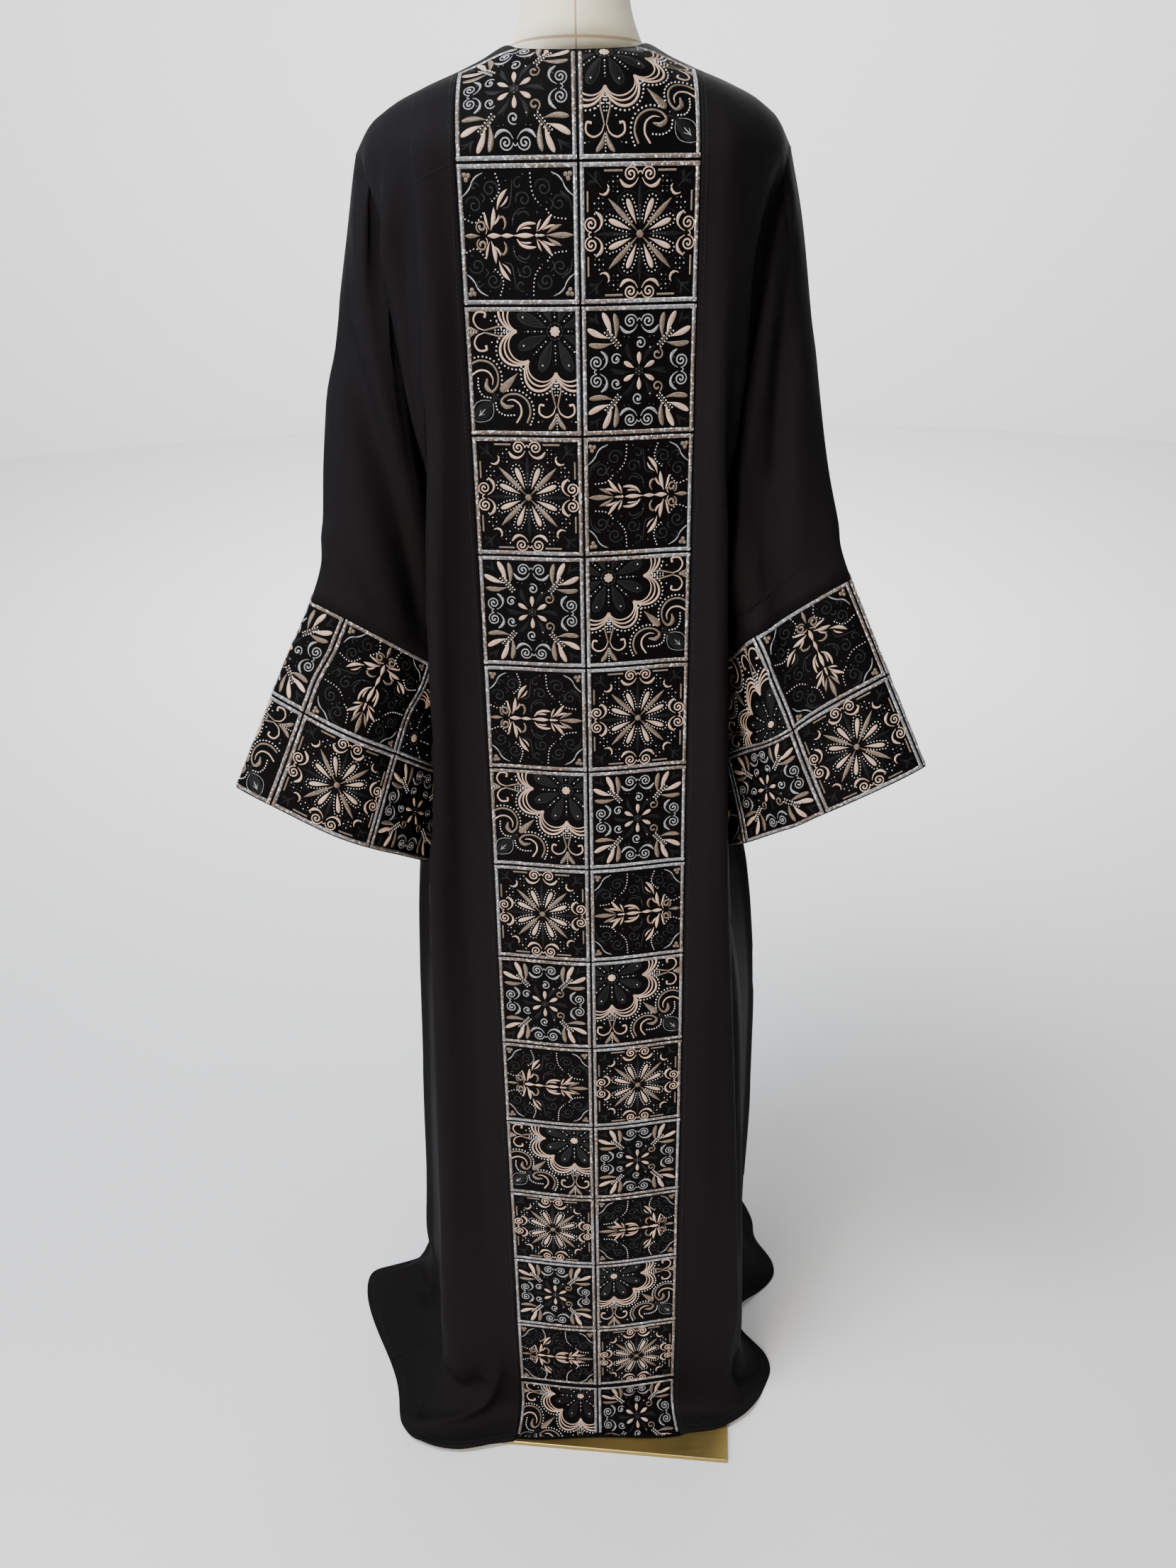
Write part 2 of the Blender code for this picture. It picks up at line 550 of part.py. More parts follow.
def torso():
    """Torso and neck in one closed body, lofted through its sections, with a flat underside and a flat neck top."""
    linen = material("linen", (0.66, 0.60, 0.50), 0.85)
    sections = np.array(TORSO)
    shoulder = sections[:, 0] > SHOULDER_FROM
    heights = np.concatenate([sections[:1, 0], np.linspace(sections[1, 0], SHOULDER_FROM, 11), sections[shoulder, 0]])
    round_steps = 28
    turns = np.linspace(0, 2 * math.pi, round_steps, endpoint=False)
    rows = []
    for height in heights:
        half_x, half_y, middle = smooth(sections[:, 0], sections[:, 1:], height)
        rows.append(np.column_stack([
            half_x * np.cos(turns), middle + half_y * np.sin(turns), np.full(round_steps, height)
        ]))
    points = np.concatenate(rows)
    number = np.arange(len(points)).reshape(len(rows), round_steps)
    faces = [tuple(number[0, ::-1]), tuple(number[-1])]
    for j in range(len(rows) - 1):
        for i in range(round_steps):
            k = (i + 1) % round_steps
            faces.append((number[j, i], number[j, k], number[j + 1, k], number[j + 1, i]))
    mesh = bpy.data.meshes.new("form_torso")
    mesh.from_pydata(points.tolist(), [], [tuple(int(n) for n in face) for face in faces])
    mesh.shade_smooth()
    mesh.set_sharp_from_angle(angle=math.radians(40))
    mesh.materials.append(linen)
    PARTS.objects.link(bpy.data.objects.new("form_torso", mesh))


def turned(name, profile, metal, y=0.0, steps=32):
    """A turned piece from a profile of (radius, height) that runs down its outer side."""
    mesh = bpy.data.meshes.new(name)
    mesh.from_pydata([(r, 0, z) for r, z in profile], [(i, i + 1) for i in range(len(profile) - 1)], [])
    mesh.materials.append(metal)
    obj = bpy.data.objects.new(name, mesh)
    obj.location.y = y
    PARTS.objects.link(obj)
    screw = obj.modifiers.new("turn", "SCREW")
    screw.steps = screw.render_steps = steps
    screw.use_merge_vertices = True
    screw.merge_threshold = 0.0001
    return obj


def stand():
    """Neck cap, pole and base plate."""
    brass = material("brass", (0.72, 0.56, 0.30), 0.30, 1.0)
    neck = TORSO[-1]
    foot = neck[0] + SEAM_GAP
    turned("neck_cap", (
        (0, foot + CAP_HEIGHT), (neck[1] - 0.004, foot + CAP_HEIGHT), (neck[1], foot + CAP_HEIGHT - 0.003),
        (neck[1], foot), (0, foot),
    ), brass, y=neck[3])
    turned("pole", (
        (0, TORSO[0][0] - SEAM_GAP), (POLE_RADIUS, TORSO[0][0] - SEAM_GAP),
        (POLE_RADIUS, PLATE[2] + SEAM_GAP), (0, PLATE[2] + SEAM_GAP),
    ), brass, steps=24)
    bpy.ops.mesh.primitive_cube_add(size=1)
    plate = bpy.context.object
    plate.name = plate.data.name = "base_plate"
    plate.scale = PLATE
    plate.location.z = PLATE[2] / 2
    bpy.ops.object.transform_apply(location=True, rotation=False, scale=True)
    plate.rotation_euler.z = PLATE_TURN
    plate.data.materials.append(brass)
    bevel = plate.modifiers.new("edge", "BEVEL")
    bevel.width, bevel.segments = 0.0012, 2
    for holder in list(plate.users_collection):
        holder.objects.unlink(plate)
    PARTS.objects.link(plate)


for leftover in list(bpy.data.objects):
    bpy.data.objects.remove(leftover)
PARTS = bpy.data.collections.new("abaya_on_dress_form")
bpy.context.scene.collection.children.link(PARTS)
clothes()
torso()
stand()
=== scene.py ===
"""Abaya cloak on a dress form: the look of each surface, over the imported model."""

import math

import bpy
import numpy as np
from mathutils import Matrix, Vector


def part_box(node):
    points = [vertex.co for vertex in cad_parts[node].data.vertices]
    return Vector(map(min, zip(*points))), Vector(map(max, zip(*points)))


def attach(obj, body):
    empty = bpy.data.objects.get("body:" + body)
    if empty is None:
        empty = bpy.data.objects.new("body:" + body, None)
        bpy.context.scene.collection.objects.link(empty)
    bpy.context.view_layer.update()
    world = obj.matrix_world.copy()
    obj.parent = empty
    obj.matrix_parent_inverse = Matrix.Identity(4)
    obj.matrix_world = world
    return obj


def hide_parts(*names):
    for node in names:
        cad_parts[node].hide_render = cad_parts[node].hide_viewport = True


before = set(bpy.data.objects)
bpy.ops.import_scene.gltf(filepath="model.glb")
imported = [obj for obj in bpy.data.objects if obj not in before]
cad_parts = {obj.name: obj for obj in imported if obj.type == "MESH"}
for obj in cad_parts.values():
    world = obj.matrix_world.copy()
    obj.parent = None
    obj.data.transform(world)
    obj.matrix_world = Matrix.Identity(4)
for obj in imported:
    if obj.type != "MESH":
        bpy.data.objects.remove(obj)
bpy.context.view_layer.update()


# ---- Camera, floor and light ----
# A hand-held view of the back from shoulder height, tipped down so that the
# hem shows. Big soft lamps overhead and in front, as in a shop.
camera = bpy.data.objects.new("camera", bpy.data.cameras.new("camera"))
bpy.context.scene.collection.objects.link(camera)
bpy.context.scene.camera = camera
FRAME_HEIGHT, FOCAL_LENGTH = 2212, 1600  # in pixels of the full frame
CAMERA_PLACE, CAMERA_TIP, CAMERA_TURN = (0, -1.145, 1.42), 62.4, -0.9
camera.data.sensor_fit = "VERTICAL"
camera.data.sensor_height = 36
camera.data.lens = FOCAL_LENGTH * camera.data.sensor_height / FRAME_HEIGHT
tip = Matrix.Rotation(math.radians(CAMERA_TIP), 4, "X")
turn = Matrix.Rotation(math.radians(CAMERA_TURN), 4, "Z")
camera.matrix_world = Matrix.Translation(CAMERA_PLACE) @ tip @ turn


class Value:
    """A socket's value. Sums and products on it add the Math nodes."""

    def __init__(self, finish, socket):
        self.finish, self.socket = finish, socket

    def sum(self, operation, *others):
        return self.finish.node("Math", {"operation": operation}, *others)

    def __add__(self, other):
        return self.sum("ADD", self, other)

    def __radd__(self, other):
        return self.sum("ADD", other, self)

    def __sub__(self, other):
        return self.sum("SUBTRACT", self, other)

    def __rsub__(self, other):
        return self.sum("SUBTRACT", other, self)

    def __mul__(self, other):
        return self.sum("MULTIPLY", self, other)

    def wave(self):
        return self.sum("SINE", self)

    def fold(self):
        return self.sum("ABSOLUTE", self)

    def step(self, low, high):
        """0 below low and 1 above high, smooth between."""
        settings = {"interpolation_type": "SMOOTHSTEP"}
        return self.finish.node("MapRange", settings, self, low, high, 0.0, 1.0)


class Finish:
    """One material, with its Principled shader."""

    def __init__(self, name, colour, roughness, metallic=0.0, **constants):
        self.material = bpy.data.materials.new(name)
        self.material.use_nodes = True
        self.tree = self.material.node_tree
        self.shader = self.tree.nodes["Principled BSDF"]
        self.feed("Base Color", (*colour, 1))
        self.feed("Roughness", roughness)
        self.feed("Metallic", metallic)
        for key, value in constants.items():
            self.feed(key.replace("_", " "), value)

    def plug(self, socket, value):
        if isinstance(value, Value):
            self.tree.links.new(value.socket, socket)
        else:
            socket.default_value = value

    def feed(self, name, value):
        self.plug(self.shader.inputs[name], value)

    def node(self, kind, settings, *values, output=0, **named):
        made = self.tree.nodes.new("ShaderNode" + kind)
        for key, value in settings.items():
            setattr(made, key, value)
        for i, value in enumerate(values):
            self.plug(made.inputs[i], value)
        for key, value in named.items():
            self.plug(made.inputs[key.replace("_", " ")], value)
        return Value(self, made.outputs[output])

    def place(self):
        return self.node("TexCoord", {}, output=3)

    def uv(self):
        """(u, v) of the piece's map, in metres on cloth."""
        split = self.node("SeparateXYZ", {}, self.node("UVMap", {}))
        return split, Value(self, split.socket.node.outputs[1])

    def vector(self, x, y, z):
        return self.node("CombineXYZ", {}, x, y, z)

    def noise(self, vector, scale, detail=2.0, roughness=0.5):
        sizes = {"Scale": scale, "Detail": detail, "Roughness": roughness}
        return self.node("TexNoise", {}, Vector=vector, **sizes)

    def blend(self, share, first, second):
        """Mix of two colours."""
        made = self.tree.nodes.new("ShaderNodeMix")
        made.data_type = "RGBA"
        self.plug(made.inputs[0], share)
        self.plug(made.inputs[6], first)
        self.plug(made.inputs[7], second)
        return Value(self, made.outputs[2])

    def tint(self, colour, spread, factor):
        """The colour, darker and lighter by a share spread as factor runs 0 to 1."""
        dark = tuple(c * (1 - spread) for c in colour)
        light = tuple(min(1, c * (1 + spread)) for c in colour)
        return self.blend(factor, (*dark, 1), (*light, 1))

    def bump(self, height, distance, strength=1.0):
        normal = self.node("Bump", {}, Strength=strength, Distance=distance, Height=height)
        self.feed("Normal", normal)


def pick(*objects):
    bpy.ops.object.select_all(action="DESELECT")
    for obj in objects:
        obj.select_set(True)
    bpy.context.view_layer.objects.active = objects[0]


bpy.ops.object.select_all(action="DESELECT")
PALE, BACKDROP = (0.86, 0.86, 0.86), 7  # the backdrop's radius and height
pale = Finish("pale_floor", PALE, 0.9)
bpy.ops.mesh.primitive_plane_add(size=30, location=(0, 0, 0))
floor = bpy.context.object
bpy.ops.mesh.primitive_cylinder_add(
    vertices=128, radius=BACKDROP, depth=BACKDROP, end_fill_type="NOTHING",
    location=(0, 0, BACKDROP / 2),
)
backdrop = bpy.context.object
bpy.ops.object.shade_smooth()
for staged, name in ((floor, "floor"), (backdrop, "backdrop")):
    staged.name = name
    staged.data.materials.append(pale.material)

world = bpy.data.worlds.new("studio")
bpy.context.scene.world = world
world.use_nodes = True
sky = world.node_tree.nodes["Background"]
sky.inputs["Color"].default_value = (1.0, 1.0, 1.0, 1)
sky.inputs["Strength"].default_value = 0.24

# Columns: name, place, size, power, colour, point it faces.
LAMPS = (
    ("lamp_over", (-0.80, -0.75, 3.1), 0.7, 80, (0.94, 0.96, 1.0), (0, -0.05, 1.0)),
    ("lamp_left", (-2.1, -0.7, 2.2), 0.5, 30, (0.58, 0.74, 1.0), (-0.15, 0, 1.35)),
    ("lamp_front", (-0.8, -1.9, 0.9), 0.7, 30, (1.0, 0.88, 0.76), (-0.10, -0.2, 0.05)),
    ("lamp_behind", (0.6, 2.4, 2.4), 1.8, 26, (1.0, 1.0, 1.0), (0, 0, 0.9)),
    ("lamp_wall", (0.0, 2.4, 3.6), 2.4, 420, (1.0, 1.0, 1.0), (0, 7.0, 0.6)),
)
for name, place, size, power, colour, target in LAMPS:
    lamp = bpy.data.lights.new(name, "AREA")
    lamp.shape, lamp.size, lamp.energy, lamp.color = "SQUARE", size, power, colour
    holder = bpy.data.objects.new(name, lamp)
    bpy.context.scene.collection.objects.link(holder)
    holder.location = place
    way = Vector(target) - Vector(place)
    holder.rotation_euler = way.to_track_quat("-Z", "Y").to_euler()


# ---- Dress form ----
# A limbless torso and neck, padded and covered in unbleached linen. The cover
# is cut in panels, so seams run down its middle, down each side of the chest
# and back, and round the neck's base.
LINEN = (1.0, 0.85, 0.62)


def metres(rows):
    return np.array(rows) / 1000


# Sections of the torso and neck, in mm. Columns: height, half width, half depth, y of the middle.
TORSO = metres((
    (790, 128, 88, 14), (800, 132, 92, 14), (870, 127, 91, 15), (960, 112, 84, 13),
    (1050, 104, 78, 10), (1130, 114, 84, 8), (1220, 133, 94, 4), (1320, 146, 94, -1),
    (1400, 152, 84, -8), (1450, 148, 70, -13), (1470, 141, 63, -14), (1485, 132, 57, -14),
    (1498, 118, 50, -13), (1508, 100, 44, -13), (1523, 60, 44, -14), (1533, 53, 47, -18),
    (1545, 48, 47, -19), (1580, 43, 44, -18), (1618, 42.5, 43, -17),
))
FORM_ROWS, FORM_COLUMNS = 150, 120
# Height of the seam round the neck's base where y is 0, and its slope to the front.
NECK_SEAM, NECK_SEAM_SLOPE = 1.5262, -0.060
SEAM_COLOUR = (0.55, 0.42, 0.29, 1)


def smooth(keys, values, at):
    """Reads a smooth curve through (keys, values) at each place in `at`."""
    keys, values, at = np.asarray(keys, float), np.asarray(values, float), np.asarray(at, float)
    slopes = np.gradient(values, keys, axis=0)
    at = np.clip(at, keys[0], keys[-1])
    i = np.clip(np.searchsorted(keys, at, side="right") - 1, 0, len(keys) - 2)
    step = keys[i + 1] - keys[i]
    t = (at - keys[i]) / step
    shape = at.shape + (1,) * (values.ndim - 1)
    t, step = t.reshape(shape), step.reshape(shape)
    return (
        (2 * t**3 - 3 * t**2 + 1) * values[i]
        + (t**3 - 2 * t**2 + t) * step * slopes[i]
        + (3 * t**2 - 2 * t**3) * values[i + 1]
        + (t**3 - t**2) * step * slopes[i + 1]
    )


def ease(t):
    t = np.clip(t, 0, 1)
    return t * t * (3 - 2 * t)


def laid_grid(name, points, uv, closed=False):
    """A grid primitive with its points moved to their places. points is rows x columns x 3."""
    if closed:
        points = np.concatenate([points, points[:, :1]], axis=1)
    rows, columns = points.shape[:2]
    bpy.ops.object.select_all(action="DESELECT")
    bpy.ops.mesh.primitive_grid_add(x_subdivisions=columns - 1, y_subdivisions=rows - 1, size=1)
    obj = bpy.context.object
    obj.name = obj.data.name = name
    mesh = obj.data
    mesh.vertices.foreach_set("co", points.reshape(-1).astype(np.float32))
    corner = np.empty(len(mesh.loops), np.int32)
    mesh.loops.foreach_get("vertex_index", corner)
    uv = uv.reshape(-1, 2)[corner]
    mesh.uv_layers[0].uv.foreach_set("vector", uv.reshape(-1).astype(np.float32))
    if closed:
        bpy.ops.object.mode_set(mode="EDIT")
        bpy.ops.mesh.select_all(action="SELECT")
        bpy.ops.mesh.remove_doubles(threshold=1e-6)
        bpy.ops.object.mode_set(mode="OBJECT")
    mesh.update()
    return obj


def lengths(points, axis):
    """Length along one axis of a grid, from its start."""
    steps = np.linalg.norm(np.diff(points, axis=axis), axis=-1)
    pad = [(0, 0), (0, 0)]
    pad[axis] = (1, 0)
    return np.cumsum(np.pad(steps, pad), axis=axis)


def form_points():
    low, high = TORSO[0, 0], TORSO[-1, 0]
    heights = low + (high - low) * np.linspace(0, 1, FORM_ROWS)
    turns = np.linspace(0, 2 * math.pi, FORM_COLUMNS, endpoint=False)
    half_x, half_y, middle = smooth(TORSO[:, 0], TORSO[:, 1:], heights).T
    points = np.zeros((FORM_ROWS, FORM_COLUMNS, 3))
    points[..., 0] = half_x[:, None] * np.cos(turns)
    points[..., 1] = middle[:, None] + half_y[:, None] * np.sin(turns)
    points[..., 2] = heights[:, None]
    return points


shape = form_points()
around, along_form = lengths(shape, 1), lengths(shape, 0)
form_map = np.stack([around, along_form], axis=-1)
last_step = [0.006, 0]  # from the last column of the map back to the first
form_map = np.concatenate([form_map, form_map[:, -1:] + last_step], axis=1)
form = laid_grid("form_cover", shape, form_map, closed=True)
bpy.ops.object.mode_set(mode="EDIT")
bpy.ops.mesh.select_all(action="SELECT")
bpy.ops.mesh.fill_holes(sides=0)
bpy.ops.mesh.normals_make_consistent(inside=False)
bpy.ops.object.mode_set(mode="OBJECT")
bpy.ops.object.shade_smooth_by_angle(angle=math.radians(40))

linen = Finish(
    "linen", LINEN, 0.86, Sheen_Weight=0.12, Sheen_Roughness=0.5, Specular_IOR_Level=0.25
)
across_thread, down_thread = linen.uv()
place = linen.place()
slub = linen.noise(linen.vector(across_thread * 90, down_thread * 1400, 0.0), 1.0, 3.0)
slub_down = linen.noise(linen.vector(across_thread * 1400, down_thread * 90, 0.0), 1.0, 3.0)
PER_MM = 6283  # one wave to a millimetre
weave = (across_thread * PER_MM).wave() * (down_thread * PER_MM).wave()
yarn = slub * 0.5 + slub_down * 0.5
split = linen.node("SeparateXYZ", {}, place)
sideways, deep, high = (Value(linen, split.socket.node.outputs[k]) for k in range(3))
from_neck = high - deep * NECK_SEAM_SLOPE - NECK_SEAM
off_seam = from_neck.fold().step(0.0003, 0.0016) * sideways.fold().step(0.0002, 0.0013)
linen_tone = linen.tint(LINEN, 0.16, yarn * 0.8 + linen.noise(place, 9.0) * 0.2)
linen.feed("Base Color", linen.blend(off_seam, SEAM_COLOUR, linen_tone))
linen.feed("Roughness", 0.80 + yarn * 0.12)
linen.bump(weave * 0.00012 + yarn * 0.00035 + off_seam * 0.0011, 1.0, 0.6)
form.data.materials.append(linen.material)
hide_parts("form_torso")
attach(form, "root")


# ---- Neck cap, pole and base plate ----
# The neck is closed by a turned brass cap. The torso stands on a brass-plated
# tube with a collar, screwed to a flat steel plate plated to match.
BRASS = (0.36, 0.26, 0.085)
brass = Finish("brushed_brass", BRASS, 0.34, 1.0, Anisotropic=0.3)
place = brass.place()
brushed = brass.node("Mapping", {}, place, (0, 0, 0), (0, 0, 0.1), (6.0, 420.0, 60.0))
grain = brass.noise(brushed, 2.0, 3.0)
cloud = brass.noise(place, 7.0, 3.0)
brass.feed("Base Color", brass.tint(BRASS, 0.22, grain * 0.5 + cloud * 0.5))
brass.feed("Roughness", 0.26 + grain * 0.12 + cloud * 0.16)
brass.bump(grain, 0.0002, 0.25)
for node in ("neck_cap", "pole", "base_plate"):
    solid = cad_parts[node]
    solid.data.materials.clear()
    solid.data.materials.append(brass.material)

plate_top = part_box("base_plate")[1][2]
pole_low, pole_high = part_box("pole")
POLE_RADIUS = (pole_high[0] - pole_low[0]) / 2
COLLAR_RADIUS, COLLAR_DEPTH, SHELF = 0.034, 0.006, 0.014
# The collar is a disc, drawn in towards the tube, with a rounded rim.
bpy.ops.object.select_all(action="DESELECT")
bpy.ops.mesh.primitive_cylinder_add(
    vertices=64, radius=COLLAR_RADIUS, depth=COLLAR_DEPTH,
    location=(0, 0, plate_top + COLLAR_DEPTH / 2 + 0.0003),
)
collar = bpy.context.object
collar.name = "pole_collar"
bpy.ops.object.mode_set(mode="EDIT")
bpy.ops.mesh.select_all(action="DESELECT")
bpy.ops.object.mode_set(mode="OBJECT")
for face in collar.data.polygons:
    face.select = face.normal.z > 0.9
bpy.ops.object.mode_set(mode="EDIT")
bpy.ops.mesh.select_mode(type="FACE")
bpy.ops.mesh.inset(thickness=SHELF)
bpy.ops.transform.translate(value=(0, 0, 0.005))
bpy.ops.mesh.inset(thickness=COLLAR_RADIUS - SHELF - POLE_RADIUS - 0.0006)
bpy.ops.transform.translate(value=(0, 0, 0.010))
bpy.ops.object.mode_set(mode="OBJECT")
rounding = collar.modifiers.new("rounding", "BEVEL")
rounding.width, rounding.segments, rounding.limit_method = 0.0012, 3, "ANGLE"
rounding.angle_limit = math.radians(20)
bpy.ops.object.modifier_apply(modifier="rounding")
bpy.ops.object.transform_apply(location=True, rotation=True, scale=True)
bpy.ops.object.shade_smooth_by_angle(angle=math.radians(35))
collar.data.materials.append(brass.material)
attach(collar, "root")


# ---- Body of the cloak ----
# Black crepe: two back panels, two open fronts and, between the back panels,
# the strip that carries the embroidery. The seams are plain and pressed flat.
# Guide lines, for one side, in mm. Columns: height, x from the middle, y.
CENTRE_BACK = metres((
    (60, 0, -218), (280, 0, -202), (480, 0, -193), (600, 0, -183), (800, 0, -156), (1000, 0, -134),
    (1200, 0, -120), (1460, 0, -112),
))
BACK_RIDGE = {
    "left": metres((
        (60, 196, -192), (310, 181, -177), (560, 170, -162), (740, 163, -148), (860, 156, -136),
        (1050, 146, -119), (1150, 139, -114), (1300, 131, -107), (1460, 131, -98),
    )),
    "right": metres((
        (60, 184, -190), (390, 167, -172), (590, 154, -160), (890, 140, -131), (1060, 133, -119),
        (1160, 129, -114), (1300, 127, -107), (1460, 127, -98),
    )),
}
SIDE_SEAM = {
    "left": metres((
        (60, 205, -96), (450, 188, -86), (620, 175, -80), (700, 156, -68), (780, 132, -58),
        (870, 118, -44), (970, 112, -32), (1050, 113, -32), (1130, 126, -38),
    )),
    "right": metres((
        (60, 187, -86), (200, 186, -86), (450, 182, -86), (620, 172, -80), (700, 156, -68),
        (780, 132, -58), (870, 118, -44), (970, 112, -32), (1050, 113, -32), (1130, 126, -38),
    )),
}
ARMHOLE_BACK = metres((
    (1130, 126, -38), (1190, 147, -58), (1270, 159, -66), (1360, 167, -62), (1430, 180, -40),
    (1460, 186, -26),
))
ARMHOLE_FRONT = metres((
    (1130, 126, -38), (1190, 144, 14), (1270, 156, 46), (1360, 166, 52), (1430, 180, 34),
    (1460, 186, 20),
))
SIDE = {
    "left": metres((
        (60, 250, 30), (200, 234, 30), (400, 221, 26), (590, 208, 14), (730, 202, 0),
        (900, 182, 24), (1130, 146, 40), (1200, 152, 58), (1300, 154, 80), (1460, 166, 56),
    )),
    "right": metres((
        (60, 212, 30), (200, 206, 20), (400, 202, 6), (590, 193, -10), (730, 178, -10),
        (900, 155, 40), (1130, 145, 40), (1200, 152, 58), (1300, 154, 80), (1460, 166, 56),
    )),
}
FRONT_FOLD = metres((
    (60, 215, 140), (600, 185, 118), (1050, 150, 100), (1300, 138, 106), (1460, 145, 80),
))
FRONT_FACE = metres((
    (60, 150, 195), (600, 120, 162), (1050, 100, 132), (1460, 105, 104),
))
FRONT_EDGE = metres((
    (60, 76, 190), (600, 64, 158), (1050, 55, 130), (1460, 46, 96),
))
# The hem on the floor. Columns: x, y, and how late the cloth turns outward.
HEM = {
    "left": {
        "centre": (0.000, -0.2460, 3.0), "band": (0.104, -0.2500, 3.0),
        "ridge": (0.200, -0.2540, 1.6),
        "seam": (0.284, -0.1300, 1.6), "side": (0.337, 0.0130, 4.5), "fold": (0.262, 0.1500, 2.0),
        "face": (0.170, 0.2250, 1.6), "edge": (0.082, 0.2100, 2.5),
    },
    "right": {
        "centre": (0.000, -0.2460, 3.0), "band": (0.106, -0.2420, 3.0),
        "ridge": (0.222, -0.1700, 1.8),
        "seam": (0.197, -0.0720, 1.2), "side": (0.264, 0.0040, 1.9), "fold": (0.240, 0.1150, 1.8),
        "face": (0.170, 0.2200, 1.6), "edge": (0.082, 0.2100, 2.5),
    },
}
# Top of the shoulder, in mm. Columns: x from the middle, y, height.
SHOULDER = metres((
    (60, -20, 1528.5), (80, -18, 1519), (100, -16, 1511), (130, -12, 1500), (160, -8, 1485),
    (176, -5, 1471), (187, -4, 1452),
))
NAPE = (-0.078, 1.520)  # y and height of the neckline at the centre back
FRONT_NECK = ((0.063, 0.018, 1.518), (0.061, 0.052, 1.490), (0.050, 0.082, 1.452))
# Broad folds. Columns: panel, place across it, half width as a share of it, depth
# (outward +), foot and top.
FOLDS = (
    ("back_left", 0.20, 0.14, -0.007, 0.15, 1.10), ("back_left", 0.50, 0.15, -0.011, 1.02, 1.44),
    ("back_left", 0.80, 0.13, 0.010, 1.08, 1.44), ("back_right", 0.16, 0.13, 0.006, 0.15, 1.36),
    ("back_right", 0.52, 0.15, -0.012, 0.98, 1.42), ("back_right", 0.80, 0.13, 0.009, 1.08, 1.42),
    ("front_left", 0.36, 0.09, -0.026, 0.03, 0.98), ("front_left", 0.62, 0.08, -0.022, 0.06, 1.24),
    ("front_left", 0.83, 0.07, -0.014, 0.05, 1.30), ("front_right", 0.33, 0.09, -0.025, 0.03, 1.00),
    ("front_right", 0.59, 0.08, -0.023, 0.07, 1.20),
    ("front_right", 0.81, 0.07, -0.015, 0.04, 1.28),
)
CLOTH, BAND_CLOTH = 0.0012, 0.0016
BAND_HALF, UNDERARM, HEM_TURN, NECK_SIDE = 0.100, 1.130, 0.130, 0.060
SHOULDER_TURN = math.radians(78)
SEAM_END = 0.66  # share of a front panel's upper edge that is shoulder seam
PLATE_TURN, PLATE_HALF, PLATE_LIFT = math.radians(-6), (0.190, 0.260), 0.0075
HEM_ROWS, BODY_ROWS, ARM_ROWS, SHOULDER_ROWS = 6, 18, 8, 4
SIDE_COLUMNS = 10
FINER = 5  # fine rows and columns to each coarse one


def guide(line, height):
    return smooth(line[:, 0], line[:, 1:], height)


def run_along(line):
    """Length along a line from its first point to each of its points."""
    return np.concatenate([[0], np.cumsum(np.linalg.norm(np.diff(line, axis=0), axis=1))])


def read_along(table, run, at):
    """The columns of a table that goes with a line, read at distances along it."""
    return np.stack([np.interp(at, run, column) for column in table.T], axis=-1)


def along(points, shares, first, last):
    """Points at shares of the way between two of the points, on a smooth curve through all."""
    points = np.array(points, float)
    apart = np.sqrt(np.linalg.norm(np.diff(points, axis=0), axis=1))
    knots = np.concatenate([[0], np.cumsum(apart)])
    dense = smooth(knots, points, np.linspace(knots[first], knots[last], 97))
    run = run_along(dense)
    return read_along(dense, run, np.asarray(shares) * run[-1])


def row_guides(side, height):
    centre = guide(CENTRE_BACK, height)
    sag = 0.010 + 0.004 * math.sin(math.pi * min(height, 1.5) / 1.5)
    low_seam, below = SIDE_SEAM[side], height <= UNDERARM
    return {
        "centre": centre,
        "band": np.array([BAND_HALF * 0.994, centre[1] + sag]),
        "ridge": guide(BACK_RIDGE[side], height),
        "seam": guide(low_seam if below else ARMHOLE_BACK, height),
        "front_seam": guide(low_seam if below else ARMHOLE_FRONT, height),
        "side": guide(SIDE[side], height),
        "fold": guide(FRONT_FOLD, height),
        "face": guide(FRONT_FACE, height),
        "edge": guide(FRONT_EDGE, height),
    }


def mirrored(point):
    return np.array([-point[0], *point[1:]])


def panel_row(panel, g, shares):
    if panel == "band":
        points = [mirrored(g["ridge"]), mirrored(g["band"]), g["centre"], g["band"], g["ridge"]]
        return along(points, shares, 1, 3)
    if panel == "back":
        points = [g["centre"], g["band"], g["ridge"], g["seam"], g["side"], g["fold"]]
        return along(points, shares, 1, 3)
    points = [g["ridge"], g["front_seam"], g["side"], g["fold"], g["face"], g["edge"]]
    return along(points, shares, 1, 5)


def shoulder_at(x):
    return np.array([x, *guide(SHOULDER, x)])


def neckline_at(x):
    reach = math.sqrt(max(0.0, 1 - (x / NECK_SIDE) ** 2))
    side = shoulder_at(NECK_SIDE)[1:]
    return np.array([x, *(side + (np.array(NAPE) - side) * reach)])


def top_points(panel, shares):
    outer, neck = SHOULDER[-1, 0], np.array([shoulder_at(NECK_SIDE), *FRONT_NECK])
    if panel == "back":
        return np.array([shoulder_at(BAND_HALF + (outer - BAND_HALF) * s) for s in shares])
    found = []
    for s in shares:
        x = (2 * s - 1) * BAND_HALF
        if panel == "band":
            point = shoulder_at(abs(x)) if abs(x) >= NECK_SIDE - 1e-6 else neckline_at(abs(x))
            found.append([math.copysign(point[0], x), point[1], point[2]])
        elif s <= SEAM_END + 1e-9:
            found.append(shoulder_at(outer + (NECK_SIDE - outer) * s / SEAM_END))
        else:
            found.append(along(neck, [(s - SEAM_END) / (1 - SEAM_END)], 0, len(neck) - 1)[0])
    return np.array(found)


